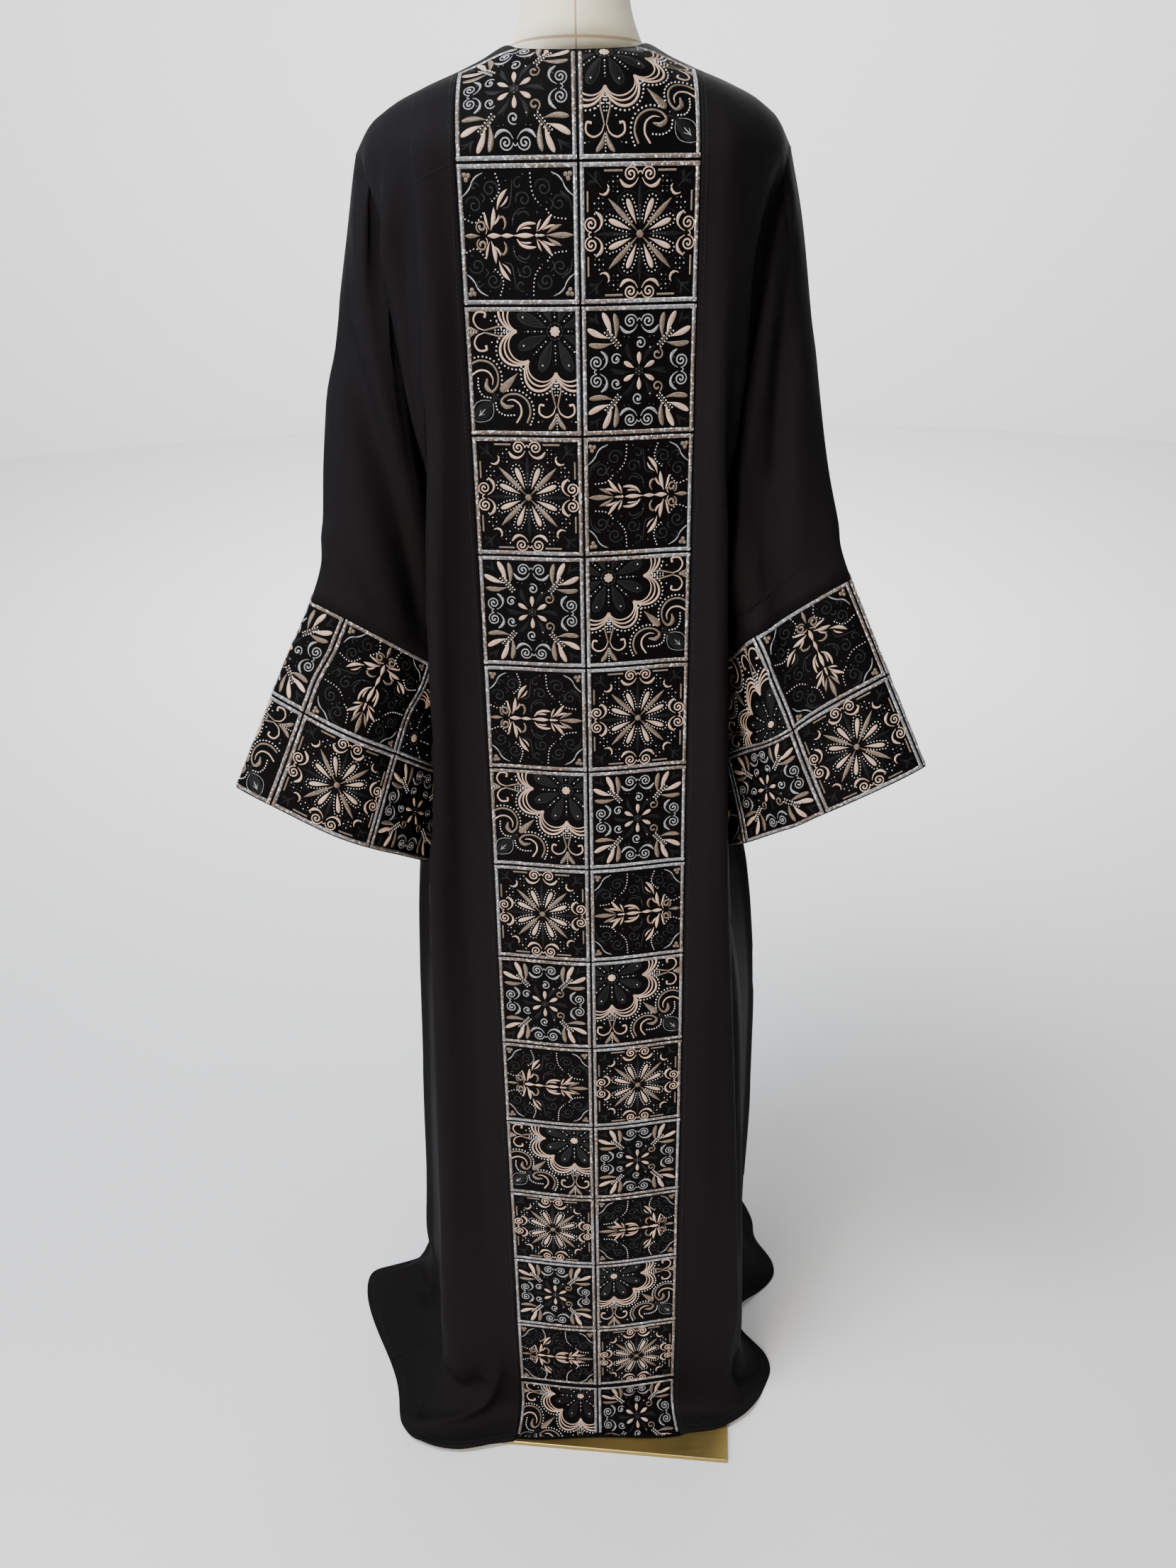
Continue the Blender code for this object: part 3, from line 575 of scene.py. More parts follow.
def front_shares():
    outer = SHOULDER[-1, 0]
    on_panel = np.linspace(outer, BAND_HALF, SIDE_COLUMNS + 1)[:-1]
    seam_x = np.concatenate([on_panel, np.linspace(BAND_HALF, NECK_SIDE, 3)])
    on_seam = (outer - seam_x) / (outer - NECK_SIDE) * SEAM_END
    return np.concatenate([on_seam, np.linspace(SEAM_END, 1, 5)[1:]])


def band_shares():
    outer = [BAND_HALF, (BAND_HALF + NECK_SIDE) / 2, NECK_SIDE, NECK_SIDE * 0.78, NECK_SIDE * 0.42]
    xs = np.array([-x for x in outer] + [0] + outer[::-1])
    return (xs / BAND_HALF + 1) / 2


def late_turns(panel, hem):
    names = {
        "band": ("band", "centre", "band"),
        "back": ("band", "ridge", "seam"),
        "front": ("seam", "side", "fold", "face", "edge"),
    }[panel]
    return np.linspace(0, 1, len(names)), [hem[n][2] for n in names]


def ground(x, y):
    """Height that the cloth lies on: the plate, a step down round it, then the floor."""
    c, s = math.cos(-PLATE_TURN), math.sin(-PLATE_TURN)
    px, py = x * c - y * s, x * s + y * c
    past_x, past_y = np.maximum(abs(px) - PLATE_HALF[0], 0), np.maximum(abs(py) - PLATE_HALF[1], 0)
    return PLATE_LIFT * (1 - ease((np.hypot(past_x, past_y) - 0.020) / 0.030))


def laid(grid):
    """Lifts whatever lies lower than the plate or the floor."""
    lowest = ground(grid[..., 0], grid[..., 1]) + CLOTH + 0.0002
    grid[..., 2] = np.maximum(grid[..., 2], lowest)
    return grid


def outward_of(grid, closed=False):
    """The cloth's outward direction at each point. A closed grid's columns go round a sleeve."""
    down_way = np.gradient(grid, axis=0)
    if closed:
        round_way = np.roll(grid, -1, axis=1) - np.roll(grid, 1, axis=1)
        away = grid - grid.mean(axis=1, keepdims=True)
        # Rings that nearly touch on the sleeve's inner side take their neighbours' slope.
        for _ in range(3):
            down_way[1:-1] = (down_way[:-2] + 2 * down_way[1:-1] + down_way[2:]) / 4
    else:
        round_way, away = np.gradient(grid, axis=1), grid * [1, 1, 0]
    normal = np.cross(round_way, down_way)
    normal /= np.linalg.norm(normal, axis=2, keepdims=True) + 1e-12
    return normal * np.sign((normal * away).sum())


def coarse_panel(panel, side, shares, name):
    """A panel's points: rows from the hem up, columns along the shares."""
    flip = -1 if side == "left" else 1
    hem = {key: np.array(row) for key, row in HEM[side].items()}
    hem["front_seam"] = hem["seam"]
    low = row_guides(side, HEM_TURN)
    foot = panel_row(panel, {k: v[:2] for k, v in hem.items()}, shares)
    late = np.interp(shares, *late_turns(panel, hem))
    start = panel_row(panel, low, shares)
    top = top_points(panel, shares)
    rows = []
    for j in range(HEM_ROWS):
        turn = (math.pi / 2) * (1 - j / HEM_ROWS)
        spread = (1 - math.cos(turn)) ** late
        xy = start + (foot - start) * spread[:, None]
        z = np.full(len(shares), CLOTH + (HEM_TURN - CLOTH) * (1 - math.sin(turn)))
        rows.append(np.column_stack([xy, z]))
    for j in range(BODY_ROWS):
        height = HEM_TURN + (UNDERARM - HEM_TURN) * j / BODY_ROWS
        xy = panel_row(panel, row_guides(side, height), shares)
        rows.append(np.column_stack([xy, np.full(len(shares), height)]))
    # How far below its upper edge each panel starts to turn in over the shoulder.
    drop = {"band": 0.075, "back": 0.075 - 0.045 * shares, "front": 0.030 + 0.055 * shares}[panel]
    base_height = top[:, 2] - drop
    for j in range(ARM_ROWS + 1):
        heights = UNDERARM + (base_height - UNDERARM) * j / ARM_ROWS
        cells = [
            panel_row(panel, row_guides(side, h + (1e-6 if j else 0)), [s])[0]
            for h, s in zip(heights, shares)
        ]
        rows.append(np.column_stack([cells, heights]))
    base, step = rows[-1], top - rows[-1]
    for j in range(1, SHOULDER_ROWS + 1):
        turn = SHOULDER_TURN * j / SHOULDER_ROWS
        out = (1 - math.cos(turn)) / (1 - math.cos(SHOULDER_TURN))
        up = math.sin(turn) / math.sin(SHOULDER_TURN)
        rows.append(base + step * np.array([out, out, up]))
    grid = np.array(rows)
    z, offset = grid[..., 2], np.zeros(grid.shape[:2])
    for fold, spot, width, depth, foot_at, top_at in FOLDS:
        if fold == name:
            reach = np.exp(-(((shares - spot) / width) ** 2))
            fade = ease((z - foot_at) / 0.25) * ease((top_at - z) / 0.30)
            offset += depth * reach * fade
    grid = grid + outward_of(grid) * [1, 1, 0] * offset[..., None]
    grid[..., 0] *= flip
    return laid(grid)


def finer(grid):
    """The same surface with FINER times the rows and columns, on smooth curves."""
    for axis in (0, 1):
        grid = np.swapaxes(grid, 0, axis)
        last = len(grid) - 1
        grid = smooth(np.arange(last + 1), grid, np.linspace(0, last, last * FINER + 1))
        grid = np.swapaxes(grid, 0, axis)
    return grid


# Creases, in mm. Columns: pieces, depth (outward +), half width to the viewer's left of a path
# that goes down, half width to its right, path. A path's points are places, or (share across
# in thousandths, height).
CREASES = (
    ("back_left", 1.4, 2.5, 7, ((-133, -88, 1492), (-134, -97, 1462), (-133.5, -100, 1432))),
    ("back_left", 8.5, 4.5, 16, (
        (-132, -99, 1450), (-132, -101, 1389), (-132, -102, 1301), (-135, -96, 1248),
        (-140, -106, 1170), (-146, -119, 1050), (-156, -136, 860), (-163, -148, 740),
        (-170, -162, 560), (-181, -177, 310), (-196, -188, 70), (-200, -194, 30))),
    ("back_left", 8, 5, 13, (
        (-156, -78, 1450), (-159, -78, 1406), (-165, -68, 1351), (-169, -69, 1311),
        (-171, -74, 1269), (-169, -83, 1234), (-163, -86, 1164), (-154, -82, 1100))),
    ("back_left", -7, 10, 10, (
        (-145, -92, 1440), (-149, -87, 1352), (-151, -89, 1235), (-153, -85, 1140))),
    ("back_left", -12, 20, 10, (
        (-184, -30, 1455), (-178, -50, 1400), (-175, -64, 1345), (-173, -74, 1280),
        (-170, -80, 1220), (-165, -82, 1160), (-158, -80, 1100))),
    ("sleeve_left", 6, 12, 10, (
        (-197, -35, 1430), (-191, -53, 1395), (-187, -67, 1351), (-183, -76, 1300),
        (-178, -80, 1250), (-171, -85, 1190))),
    ("sleeve_left", -9, 20, 10, (
        (-212, -52, 1345), (-204, -70, 1294), (-195, -80, 1259), (-186, -87, 1223),
        (-178, -90, 1185), (-170, -92, 1139), (-163, -92, 1091), (-158, -90, 1020))),
    ("sleeve_left", 5, 26, 18, (
        (-223, -55, 1300), (-214, -79, 1234), (-204, -91, 1186), (-192, -101, 1125),
        (-180, -105, 1070), (-170, -100, 1010))),
    ("sleeve_left", 4, 6, 10, (
        (-243, -92, 1150), (-236, -102, 1120), (-217, -111, 1091), (-205, -112, 1060))),
    ("cuff_left sleeve_left", 10, 45, 45, (
        (-215, -110, 1030), (-240, -130, 930), (-250, -140, 850), (-255, -145, 800))),
    ("back_right", 4, 13, 4, (
        (123, -106, 1338), (124, -108, 1282), (127, -113, 1190), (130, -120, 1096),
        (132, -126, 1020), (138, -140, 825), (148, -156, 646), (161, -171, 451), (173, -183, 226),
        (176, -188, 150), (170, -194, 110), (172, -192, 76), (195, -178, 20), (221, -171, 2))),
    ("back_right", -12, 14, 20, (
        (180, -35, 1450), (175, -51, 1431), (168, -64, 1401), (161, -76, 1364), (159, -80, 1325),
        (156, -80, 1278), (151, -78, 1230), (147, -72, 1172), (142, -70, 1108), (140, -74, 1037))),
    ("sleeve_right", 8, 8, 12, (
        (183, -36, 1440), (173, -56, 1385), (169, -65, 1346), (164, -68, 1300), (161, -68, 1251),
        (158, -66, 1200), (152, -80, 1139), (151, -84, 1070), (150, -84, 1026))),
    ("sleeve_right", -7, 8, 10, (
        (185, -52, 1400), (179, -70, 1335), (177, -77, 1280), (176, -84, 1229), (175, -92, 1167))),
    ("sleeve_right", 5, 12, 20, (
        (196, -60, 1320), (196, -80, 1228), (196, -92, 1167), (192, -105, 1090))),
    ("sleeve_right cuff_right", 7.5, 30, 14, (
        (160, -80, 1150), (172, -98, 1070), (177, -106, 1033), (186, -115, 993), (198, -128, 937),
        (208, -140, 880), (216, -146, 830))),
    ("back_right", -10, 8, 9, (
        (182, -176, 90), (181, -186, 50), (190, -186, 24), (208, -176, 12), (226, -160, 8))),
    ("back_right", -9, 4, 10, (
        (150, -130, 760), (157, -144, 650), (166, -155, 542), (172, -162, 442), (178, -170, 340),
        (183, -176, 220))),
    ("back_left", -14, 10, 13, (
        (-204, -184, 70), (-200, -194, 46), (-184, -204, 40), (-160, -208, 46), (-142, -204, 62))),
    ("back_left", 6, 12, 14, ((-176, -190, 120), (-174, -194, 95), (-166, -198, 75))),
    ("back_left", 10, 7, 9, (
        (-236, -180, 10), (-226, -213, 10), (-201, -221, 10), (-173, -218, 14), (-146, -207, 27),
        (-128, -198, 75), (-127, -190, 120))),
    ("back_left", 4, 8, 6, ((-232, -232, 3), (-205, -247, 3), (-170, -251, 3), (-125, -248, 3))),
    ("front_left back_left", -8, 8, 8, ((-252, -24, 12), (-242, -40, 14), (-236, -56, 14))),
    ("front_left", 7, 10, 10, (
        (-322, 10, 2), (-295, 14, 4), (-265, 18, 8), (-246, 4, 16), (-238, -20, 18))),
    ("back_left", -8, 6, 6, ((-238, -186, 10), (-233, -198, 10), (-228, -208, 10))),
    ("front_left", 8, 6, 16, ((270, 20), (270, 300), (250, 620), (200, 950))),
    ("front_left", 8, 14, 6, ((470, 20), (480, 400), (500, 800), (500, 1200))),
    ("front_left", 6, 8, 14, ((730, 20), (730, 450), (750, 900), (760, 1250))),
    ("front_left", -6, 10, 10, ((180, 1440), (200, 1380), (260, 1260), (400, 1100))),
    ("front_right", 8, 16, 6, ((250, 20), (240, 350), (240, 700), (200, 1000))),
    ("front_right", 9, 6, 14, ((450, 20), (460, 300), (470, 750), (500, 1150))),
    ("front_right", 6, 14, 8, ((710, 20), (700, 500), (720, 850), (750, 1300))),
    ("front_right", -5, 12, 9, ((160, 1430), (190, 1360), (280, 1220), (360, 1080))),
    ("sleeve_left", 7, 10, 20, ((660, 1380), (700, 1280), (740, 1180), (780, 1080), (800, 980))),
    ("sleeve_left", -7, 12, 12, ((600, 1360), (620, 1220), (660, 1100), (680, 1000))),
    ("sleeve_right", 7, 20, 10, ((340, 1380), (300, 1270), (270, 1150), (230, 1060), (200, 980))),
    ("sleeve_right", -8, 12, 12, ((400, 1340), (370, 1240), (350, 1120), (310, 1020))),
)
# Places where the cloth is pushed in or out, most of them on the hem that lies on the floor,
# in mm. Columns: pieces, place, reach, shift.
PUSHES = (
    ("back_left front_left", (-190, -15, 1440), 55, (-9, 0, 0)),
    ("front_left", (-300, 80, 0), 50, (34, 12, 0)),
    ("front_left", (-316, 62, 0), 36, (54, -12, 0)),
    ("front_left", (-284, 112, 0), 40, (34, 0, 0)),
    ("back_left", (-245, -225, 0), 45, (-16, -14, 0)),
    ("front_right", (262, 62, 0), 32, (-16, 4, 0)),
    ("back_right", (234, -140, 0), 42, (14, 10, 0)),
    ("back_right", (190, -215, 0), 40, (8, -10, 0)),
    ("back_right", (150, -236, 0), 35, (3, -9, 0)),
    ("front_left", (-335, 12, 0), 22, (-2, 6, 0)),
    ("sleeve_right", (165, -108, 975), 42, (2, -3, -18)),
)
# Rings of a sleeve, armhole first and cuff's lower edge last, in mm. Columns: its outer point,
# its inner point (x from the middle, y, height), then how far its back and its front swell
# out, and how far its back bows.
SLEEVE = {
    "left": metres((
        (187, -4, 1452, 126, -38, 1130, 70, 70, 0), (199, -22, 1400, 138, -36, 1120, 55, 70, 4),
        (221, -46, 1308, 139, -32, 1082, 44, 66, 8), (239, -70, 1209, 138, -26, 1038, 36, 66, 14),
        (246, -90, 1140, 136, -20, 998, 32, 78, 18), (260, -108, 1079, 135, -14, 958, 30, 88, 20),
        (345, -158, 907, 174, -78, 772, 30, 58, 14),
    )),
    "right": metres((
        (187, -4, 1452, 126, -38, 1130, 70, 70, 0), (199, -22, 1392, 134, -36, 1120, 55, 70, 4),
        (211, -46, 1300, 132, -32, 1082, 44, 66, 8), (226, -70, 1202, 131, -26, 1038, 36, 66, 14),
        (238, -90, 1145, 130, -20, 1000, 32, 78, 16), (251, -108, 1092, 130, -14, 964, 30, 88, 18),
        (330, -158, 918, 154, -78, 784, 30, 56, 12),
    )),
}
SLEEVE_FRONT = np.array([0.16, 0.98, 0.08])
SLEEVE_ROWS, CUFF_ROWS = 48, 24
CUFF_TOP, CUFF_FOOT = 5, 6  # the rings at the cuff's edges
CREASE_FADE = 0.18  # share of a crease's length over which it fades at each end


def creased(name, grid, closed=False):
    """Adds the piece's creases, each fading out at its two ends."""
    outward = outward_of(grid, closed)
    offset = np.zeros(grid.shape[:2])
    for pieces, depth, left, right, path in CREASES:
        if name not in pieces.split():
            continue
        path = metres(path)
        if path.shape[1] == 2:
            columns = [grid[:, round(share * (grid.shape[1] - 1))] for share in path[:, 0]]
            path = [c[np.abs(c[:, 2] - high).argmin()] for c, high in zip(columns, path[:, 1])]
        line = along(path, np.linspace(0, 1, 49), 0, len(path) - 1)
        starts, steps = line[:-1], np.diff(line, axis=0)
        near_gap = np.full(grid.shape[:2], np.inf)
        near_at, near_side = np.zeros(grid.shape[:2]), np.zeros(grid.shape[:2])
        for i, (start, step) in enumerate(zip(starts, steps)):
            part = np.clip((grid - start) @ step / (step @ step), 0, 1)
            away = grid - start - part[..., None] * step
            gap = np.linalg.norm(away, axis=-1)
            nearer = gap < near_gap
            near_gap = np.where(nearer, gap, near_gap)
            near_at = np.where(nearer, (i + part) / len(starts), near_at)
            side = (away * np.cross(step, outward)).sum(axis=-1)
            near_side = np.where(nearer, side, near_side)
        width = np.where(near_side > 0, left, right) / 1000
        fade = ease(near_at / CREASE_FADE + 0.1) * ease((1 - near_at) / CREASE_FADE + 0.1)
        offset += depth / 1000 * np.exp(-((near_gap / width) ** 2)) * fade
    grid = grid + outward * offset[..., None]
    for pieces, place, reach, shift in PUSHES:
        if name in pieces.split():
            gap = np.linalg.norm(grid - metres(place), axis=-1) * 1000
            grid = grid + np.exp(-((gap / reach) ** 2))[..., None] * metres(shift)
    return grid if closed else laid(grid)


def sleeve_ring(side, share, turns):
    """One ring: share 0 is the armhole and CUFF_FOOT the cuff's lower edge."""
    row, ahead, behind = (
        smooth(range(len(SLEEVE[side])), SLEEVE[side], at)
        for at in (share, min(share + 0.05, CUFF_FOOT), max(share - 0.05, 0))
    )
    outer, inner, (back, front, bow) = row[:3], row[3:6], row[6:]
    down = (ahead[:3] + ahead[3:6]) - (behind[:3] + behind[3:6])
    across = outer - inner
    toward_back = np.cross(across, down)
    toward_back *= -np.sign(toward_back[1]) / np.linalg.norm(toward_back)
    c, s = np.cos(turns), np.sin(turns)
    to_back = bow * (1 - c**2) + back * np.maximum(s, 0)
    to_front = front * np.maximum(-s, 0) * (1 + 0.45 * c)
    middle = (outer + inner) / 2 + across / 2 * c[:, None]
    return middle + toward_back * to_back[:, None] + SLEEVE_FRONT * to_front[:, None]


def sleeve_points(side, armhole):
    """The sleeve, whose upper rings keep to the armhole, and the cuff in one grid."""
    flip = np.array([-1 if side == "left" else 1, 1, 1])
    turns = np.linspace(0, 2 * math.pi, len(armhole), endpoint=False)
    high = ((1 + np.cos(turns)) / 2)[:, None]
    rows = []
    for j in range(SLEEVE_ROWS + 1):
        share = CUFF_TOP * (j / SLEEVE_ROWS) ** 1.1
        shift = smooth(range(len(SLEEVE[side])), SLEEVE[side], share) - SLEEVE[side][0]
        ring = armhole * flip + high * shift[:3] + (1 - high) * shift[3:6]
        weight = ease(share / 2.6)
        rows.append((ring * (1 - weight) + sleeve_ring(side, share, turns) * weight) * flip)
    upper, lower = sleeve_ring(side, CUFF_TOP, turns), sleeve_ring(side, CUFF_FOOT, turns)
    steps = np.linspace(0, 1, CUFF_ROWS + 1)[1:, None, None]
    return np.concatenate([rows, (upper + (lower - upper) * steps) * flip])


def face_out(mesh, points, outward):
    """Turns the mesh's faces round if its middle face looks inwards."""
    face = mesh.polygons[len(mesh.polygons) // 2]
    near = np.linalg.norm(points - np.array(face.center), axis=1).argmin()
    if np.dot(np.array(face.normal), outward[near]) < 0:
        mesh.flip_normals()


def cloth(name, grid, finish, wall, closed):
    """A shell of cloth on a grid: rows go up or down the piece, columns go round it."""
    map_points = np.concatenate([grid, grid[:, :1]], axis=1) if closed else grid
    uv = np.stack([lengths(map_points, 1), lengths(map_points, 0)], axis=-1)
    obj = laid_grid(name, grid, uv, closed)
    face_out(obj.data, grid.reshape(-1, 3), outward_of(grid, closed).reshape(-1, 3))
    pick(obj)
    bpy.ops.object.shade_smooth()
    shell = obj.modifiers.new("wall", "SOLIDIFY")
    shell.thickness, shell.offset, shell.use_even_offset = wall, -1, False
    bpy.ops.object.modifier_apply(modifier="wall")
    obj.data.materials.append(finish.material)
    return obj


def crepe_finish(name, colour, specular):
    """Crepe, its grain of hard-twisted yarn and the object coordinates that it uses."""
    made = Finish(name, colour, 0.7, Specular_IOR_Level=specular)
    across_thread, down_thread = made.uv()
    yarns = made.vector(across_thread * 2600, down_thread * 2600, 0.0)
    return made, made.noise(yarns, 1.0), made.place()


# The crepe under the embroidery is the same cloth as CREPE, painted about three times darker:
# painted shade from the threads and beads that lie over it.
CREPE, CREPE_PAINTED_SHADE = (0.0067, 0.0057, 0.0061), (0.0020, 0.0016, 0.0016)
crepe, grit, place = crepe_finish("black_crepe", CREPE, 0.045)
broad, dents = crepe.noise(place, 3.2), crepe.noise(place, 34.0, 3.0)
crepe.feed("Base Color", crepe.tint(CREPE, 0.30, grit * 0.4 + broad * 0.6))
crepe.feed("Roughness", 0.62 + broad * 0.10 + grit * 0.08)
crepe.bump(grit * 0.00012 + dents * 0.0008, 1.0, 0.7)
# The band and cuff crepe, in its darker colour of painted shade.
worked, grit, place = crepe_finish("embroidered_crepe", CREPE_PAINTED_SHADE, 0.04)
worked.feed("Base Color", worked.tint(CREPE_PAINTED_SHADE, 0.30, grit))
worked.feed("Roughness", 0.64 + grit * 0.10)
worked.bump(grit * 0.00012 + worked.noise(place, 120.0) * 0.0005, 1.0, 0.7)

arm_from = (HEM_ROWS + BODY_ROWS) * FINER
coarse = band_shares()
band = coarse_panel("band", "right", coarse, "back_band")
band = finer((band + coarse_panel("band", "left", 1 - coarse, "back_band")) / 2)
fine_steps = np.arange(0, (len(coarse) - 1) * FINER + 1) / FINER
band_share = smooth(range(len(coarse)), coarse[:, None], fine_steps)[:, 0]
band_across = band_share * 2 * BAND_HALF - BAND_HALF
PIECES = {}
for side in ("left", "right"):
    grids = []
    for panel, shares in (("back", np.linspace(0, 1, SIDE_COLUMNS + 1)), ("front", front_shares())):
        name = panel + "_" + side
        grids.append(creased(name, finer(coarse_panel(panel, side, shares, name))))
    back, front = grids
    # The seams: neighbours share their edge points.
    half = band if side == "left" else band[:, ::-1]
    back[:, 0] = half[:, 0]
    front[: arm_from + 1, 0] = back[: arm_from + 1, -1]
    reach = SIDE_COLUMNS * FINER
    front[-1, : reach + 1] = back[-1, ::-1]
    front[-1, reach : reach + 2 * FINER + 1] = half[-1, : 2 * FINER + 1]
    armhole = np.concatenate([back[arm_from:, -1][::-1], front[arm_from + 1 : -1, 0]])
    plain = sleeve_points(side, armhole)
    sleeve = creased("cuff_" + side, creased("sleeve_" + side, plain, True), True)
    meet = ease(np.arange(len(sleeve)) / 3)[:, None, None]
    sleeve = plain * (1 - meet) + sleeve * meet
    PIECES["sleeve_" + side] = sleeve[: SLEEVE_ROWS + 1]
    PIECES["cuff_" + side] = sleeve[SLEEVE_ROWS:]
    PIECES["back_" + side], PIECES["front_" + side] = back, front
PIECES["back_band"] = band


for name, grid in PIECES.items():
    closed = name.startswith(("sleeve", "cuff"))
    fancy = name.startswith(("cuff", "back_band"))
    finish, wall = (worked, BAND_CLOTH) if fancy else (crepe, CLOTH)
    piece = cloth(name + "_cloth", grid, finish, wall, closed)
    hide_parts(name)
    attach(piece, "root")


# ---- Embroidery ----
# Squares of machine embroidery in two columns down the back and round both
# cuffs, satin stitched in peach, taupe, silver and black thread on the crepe
# and finished with rows of small glass beads. Each square has its own frame.
# A tile is drawn in millimetres from its middle: x to the right, y up.
TILE_WIDE, TILE_HIGH = 100.0, 106.6
FRAME_BAR, FRAME_GAP = 3.5, 2.1
INNER_X, INNER_Y = 45.2, 48.4
PULLED = 0.385  # half of a shape's drawn width, once the stitches have pulled it in
THREAD_RISE = {
    "peach": 0.75, "taupe": 0.70, "silver": 0.60, "black": 0.30, "smoke": 0.35, "frame": 0.95
}
EIGHTHS = [22.5 + 45 * k for k in range(8)]
LENGTHWISE = 1 - (1 - np.linspace(0, 1, 10)) ** 1.4  # places along a drop, closer at its tip


def polar(radius, degrees, middle=(0, 0)):
    turn = math.radians(degrees)
    return middle[0] + radius * math.cos(turn), middle[1] + radius * math.sin(turn)


def curve(thread, points, widths):
    """A stitched line through the points, as wide as given at each."""
    last = len(points) - 1
    rows = np.column_stack([np.array(points, float), widths])
    found = smooth(range(last + 1), rows, np.linspace(0, last, last * 5 + 1))
    return thread, found[:, :2], np.maximum(found[:, 2], 0.1) * PULLED


def drop(thread, foot, tip, width, bow=0, blunt=0.66):
    """A satin-stitched drop: a thin foot, widest at `blunt` of its length, and a round end."""
    s, way = LENGTHWISE, np.subtract(tip, foot)
    side = np.array([-way[1], way[0]])
    spine = foot + s[:, None] * way + side * (bow * np.sin(math.pi * s))[:, None]
    rising = np.sin(math.pi / 2 * np.clip(s / blunt, 0, 1)) ** 1.15 * (s <= blunt)
    falling = np.sqrt(np.clip(1 - ((s - blunt) / (1 - blunt)) ** 2, 0, 1)) * (s > blunt)
    return thread, spine, width * PULLED * np.maximum(rising + falling, 0.04)


def lance(thread, foot, tip, width, bow=0):
    """A leaf with two points."""
    swell = np.sin(math.pi * LENGTHWISE**1.25) ** 0.9
    return thread, drop(thread, foot, tip, width, bow)[1], width * PULLED * np.maximum(swell, 0.05)


def curl(thread, middle, radius, start, sweep, width, end_radius=1.2, end_width=None):
    """A line that winds in round a middle point."""
    s = np.linspace(0, 1, max(8, int(abs(sweep) / 24)))
    turns = np.radians(start + sweep * s)
    reach = radius + (end_radius - radius) * s
    spine = np.array(middle) + reach[:, None] * np.stack([np.cos(turns), np.sin(turns)], axis=1)
    widths = width + ((end_width or width) - width) * s
    return thread, spine, np.where((s == 0) | (s == 1), 0.4, 1) * widths * PULLED


def disc(thread, middle, radius):
    s = np.linspace(-1, 1, 8)
    spine = np.array(middle) + radius * s[:, None] * np.array([1, 0])
    return thread, spine, radius * np.maximum(np.sqrt(1 - s**2), 0.1)


def aside(line):
    """Unit vectors across a line, one at each of its points."""
    step = np.gradient(line, axis=0)
    length = np.linalg.norm(step, axis=1, keepdims=True)
    return np.stack([-step[:, 1], step[:, 0]], axis=1) / (length + 1e-9)


def beads_along(element, spacing, radius, offset=0, ends=(0, 1)):
    """Beads sewn in a row along an element's middle line, or beside it."""
    run = run_along(element[1])
    first, last = run[-1] * ends[0], run[-1] * ends[1]
    at = np.linspace(first, last, max(2, int(round((last - first) / spacing)) + 1))
    line = element[1] + aside(element[1]) * offset
    return [("bead", *spot, radius) for spot in read_along(line, run, at)]


def moved(work, turn=0, shift=(0, 0), mirror=False):
    """The same stitches and beads, mirrored, then turned, then shifted."""
    c, s = math.cos(math.radians(turn)), math.sin(math.radians(turn))
    flip = -1 if mirror else 1

    def put(x, y):
        return x * flip * c - y * s + shift[0], x * flip * s + y * c + shift[1]

    found = []
    for kind, *where, size in work:
        if len(where) == 2:
            found.append((kind, *put(*where), size))
        else:
            found.append((kind, np.stack(put(*where[0].T), axis=1), size))
    return found


def both_hands(work):
    return work + moved(work, mirror=True)


def upside_down(work):
    return moved(moved(work, 180), mirror=True)


def scroll_pair(thread, edge):
    """Two scrolls back to back under the tile's upper edge, each with a leaf below it."""
    leaf = [(1.6, 11), (4.2, 15), (8.6, 17.2), (13.2, 16), (16.6, 12)]
    return both_hands([
        curl(thread, (7.6, edge - 8.4), 5.8, 172, -560, 1.35, 1.3, 2.2),
        curve(thread, [(0, edge - 6.2), (1.2, edge - 7), (1.9, edge - 8.4)], [1.1, 1.2, 1.2]),
        curve(thread, [(x, edge - down) for x, down in leaf], [0.6, 1.3, 2.5, 3.6, 1.4]),
        ("bead", 8, edge - 9, 0.7),
    ])


def round_four(work_for):
    """The group from work_for(edge distance) at the middle of each of the tile's four sides."""
    upright, sideways = work_for(INNER_Y), work_for(INNER_X)
    return upright + moved(upright, 180) + moved(sideways, 90) + moved(sideways, -90)


def four_corners(work):
    """A group drawn in the upper right quarter, in all four."""
    return both_hands(work + upside_down(work))


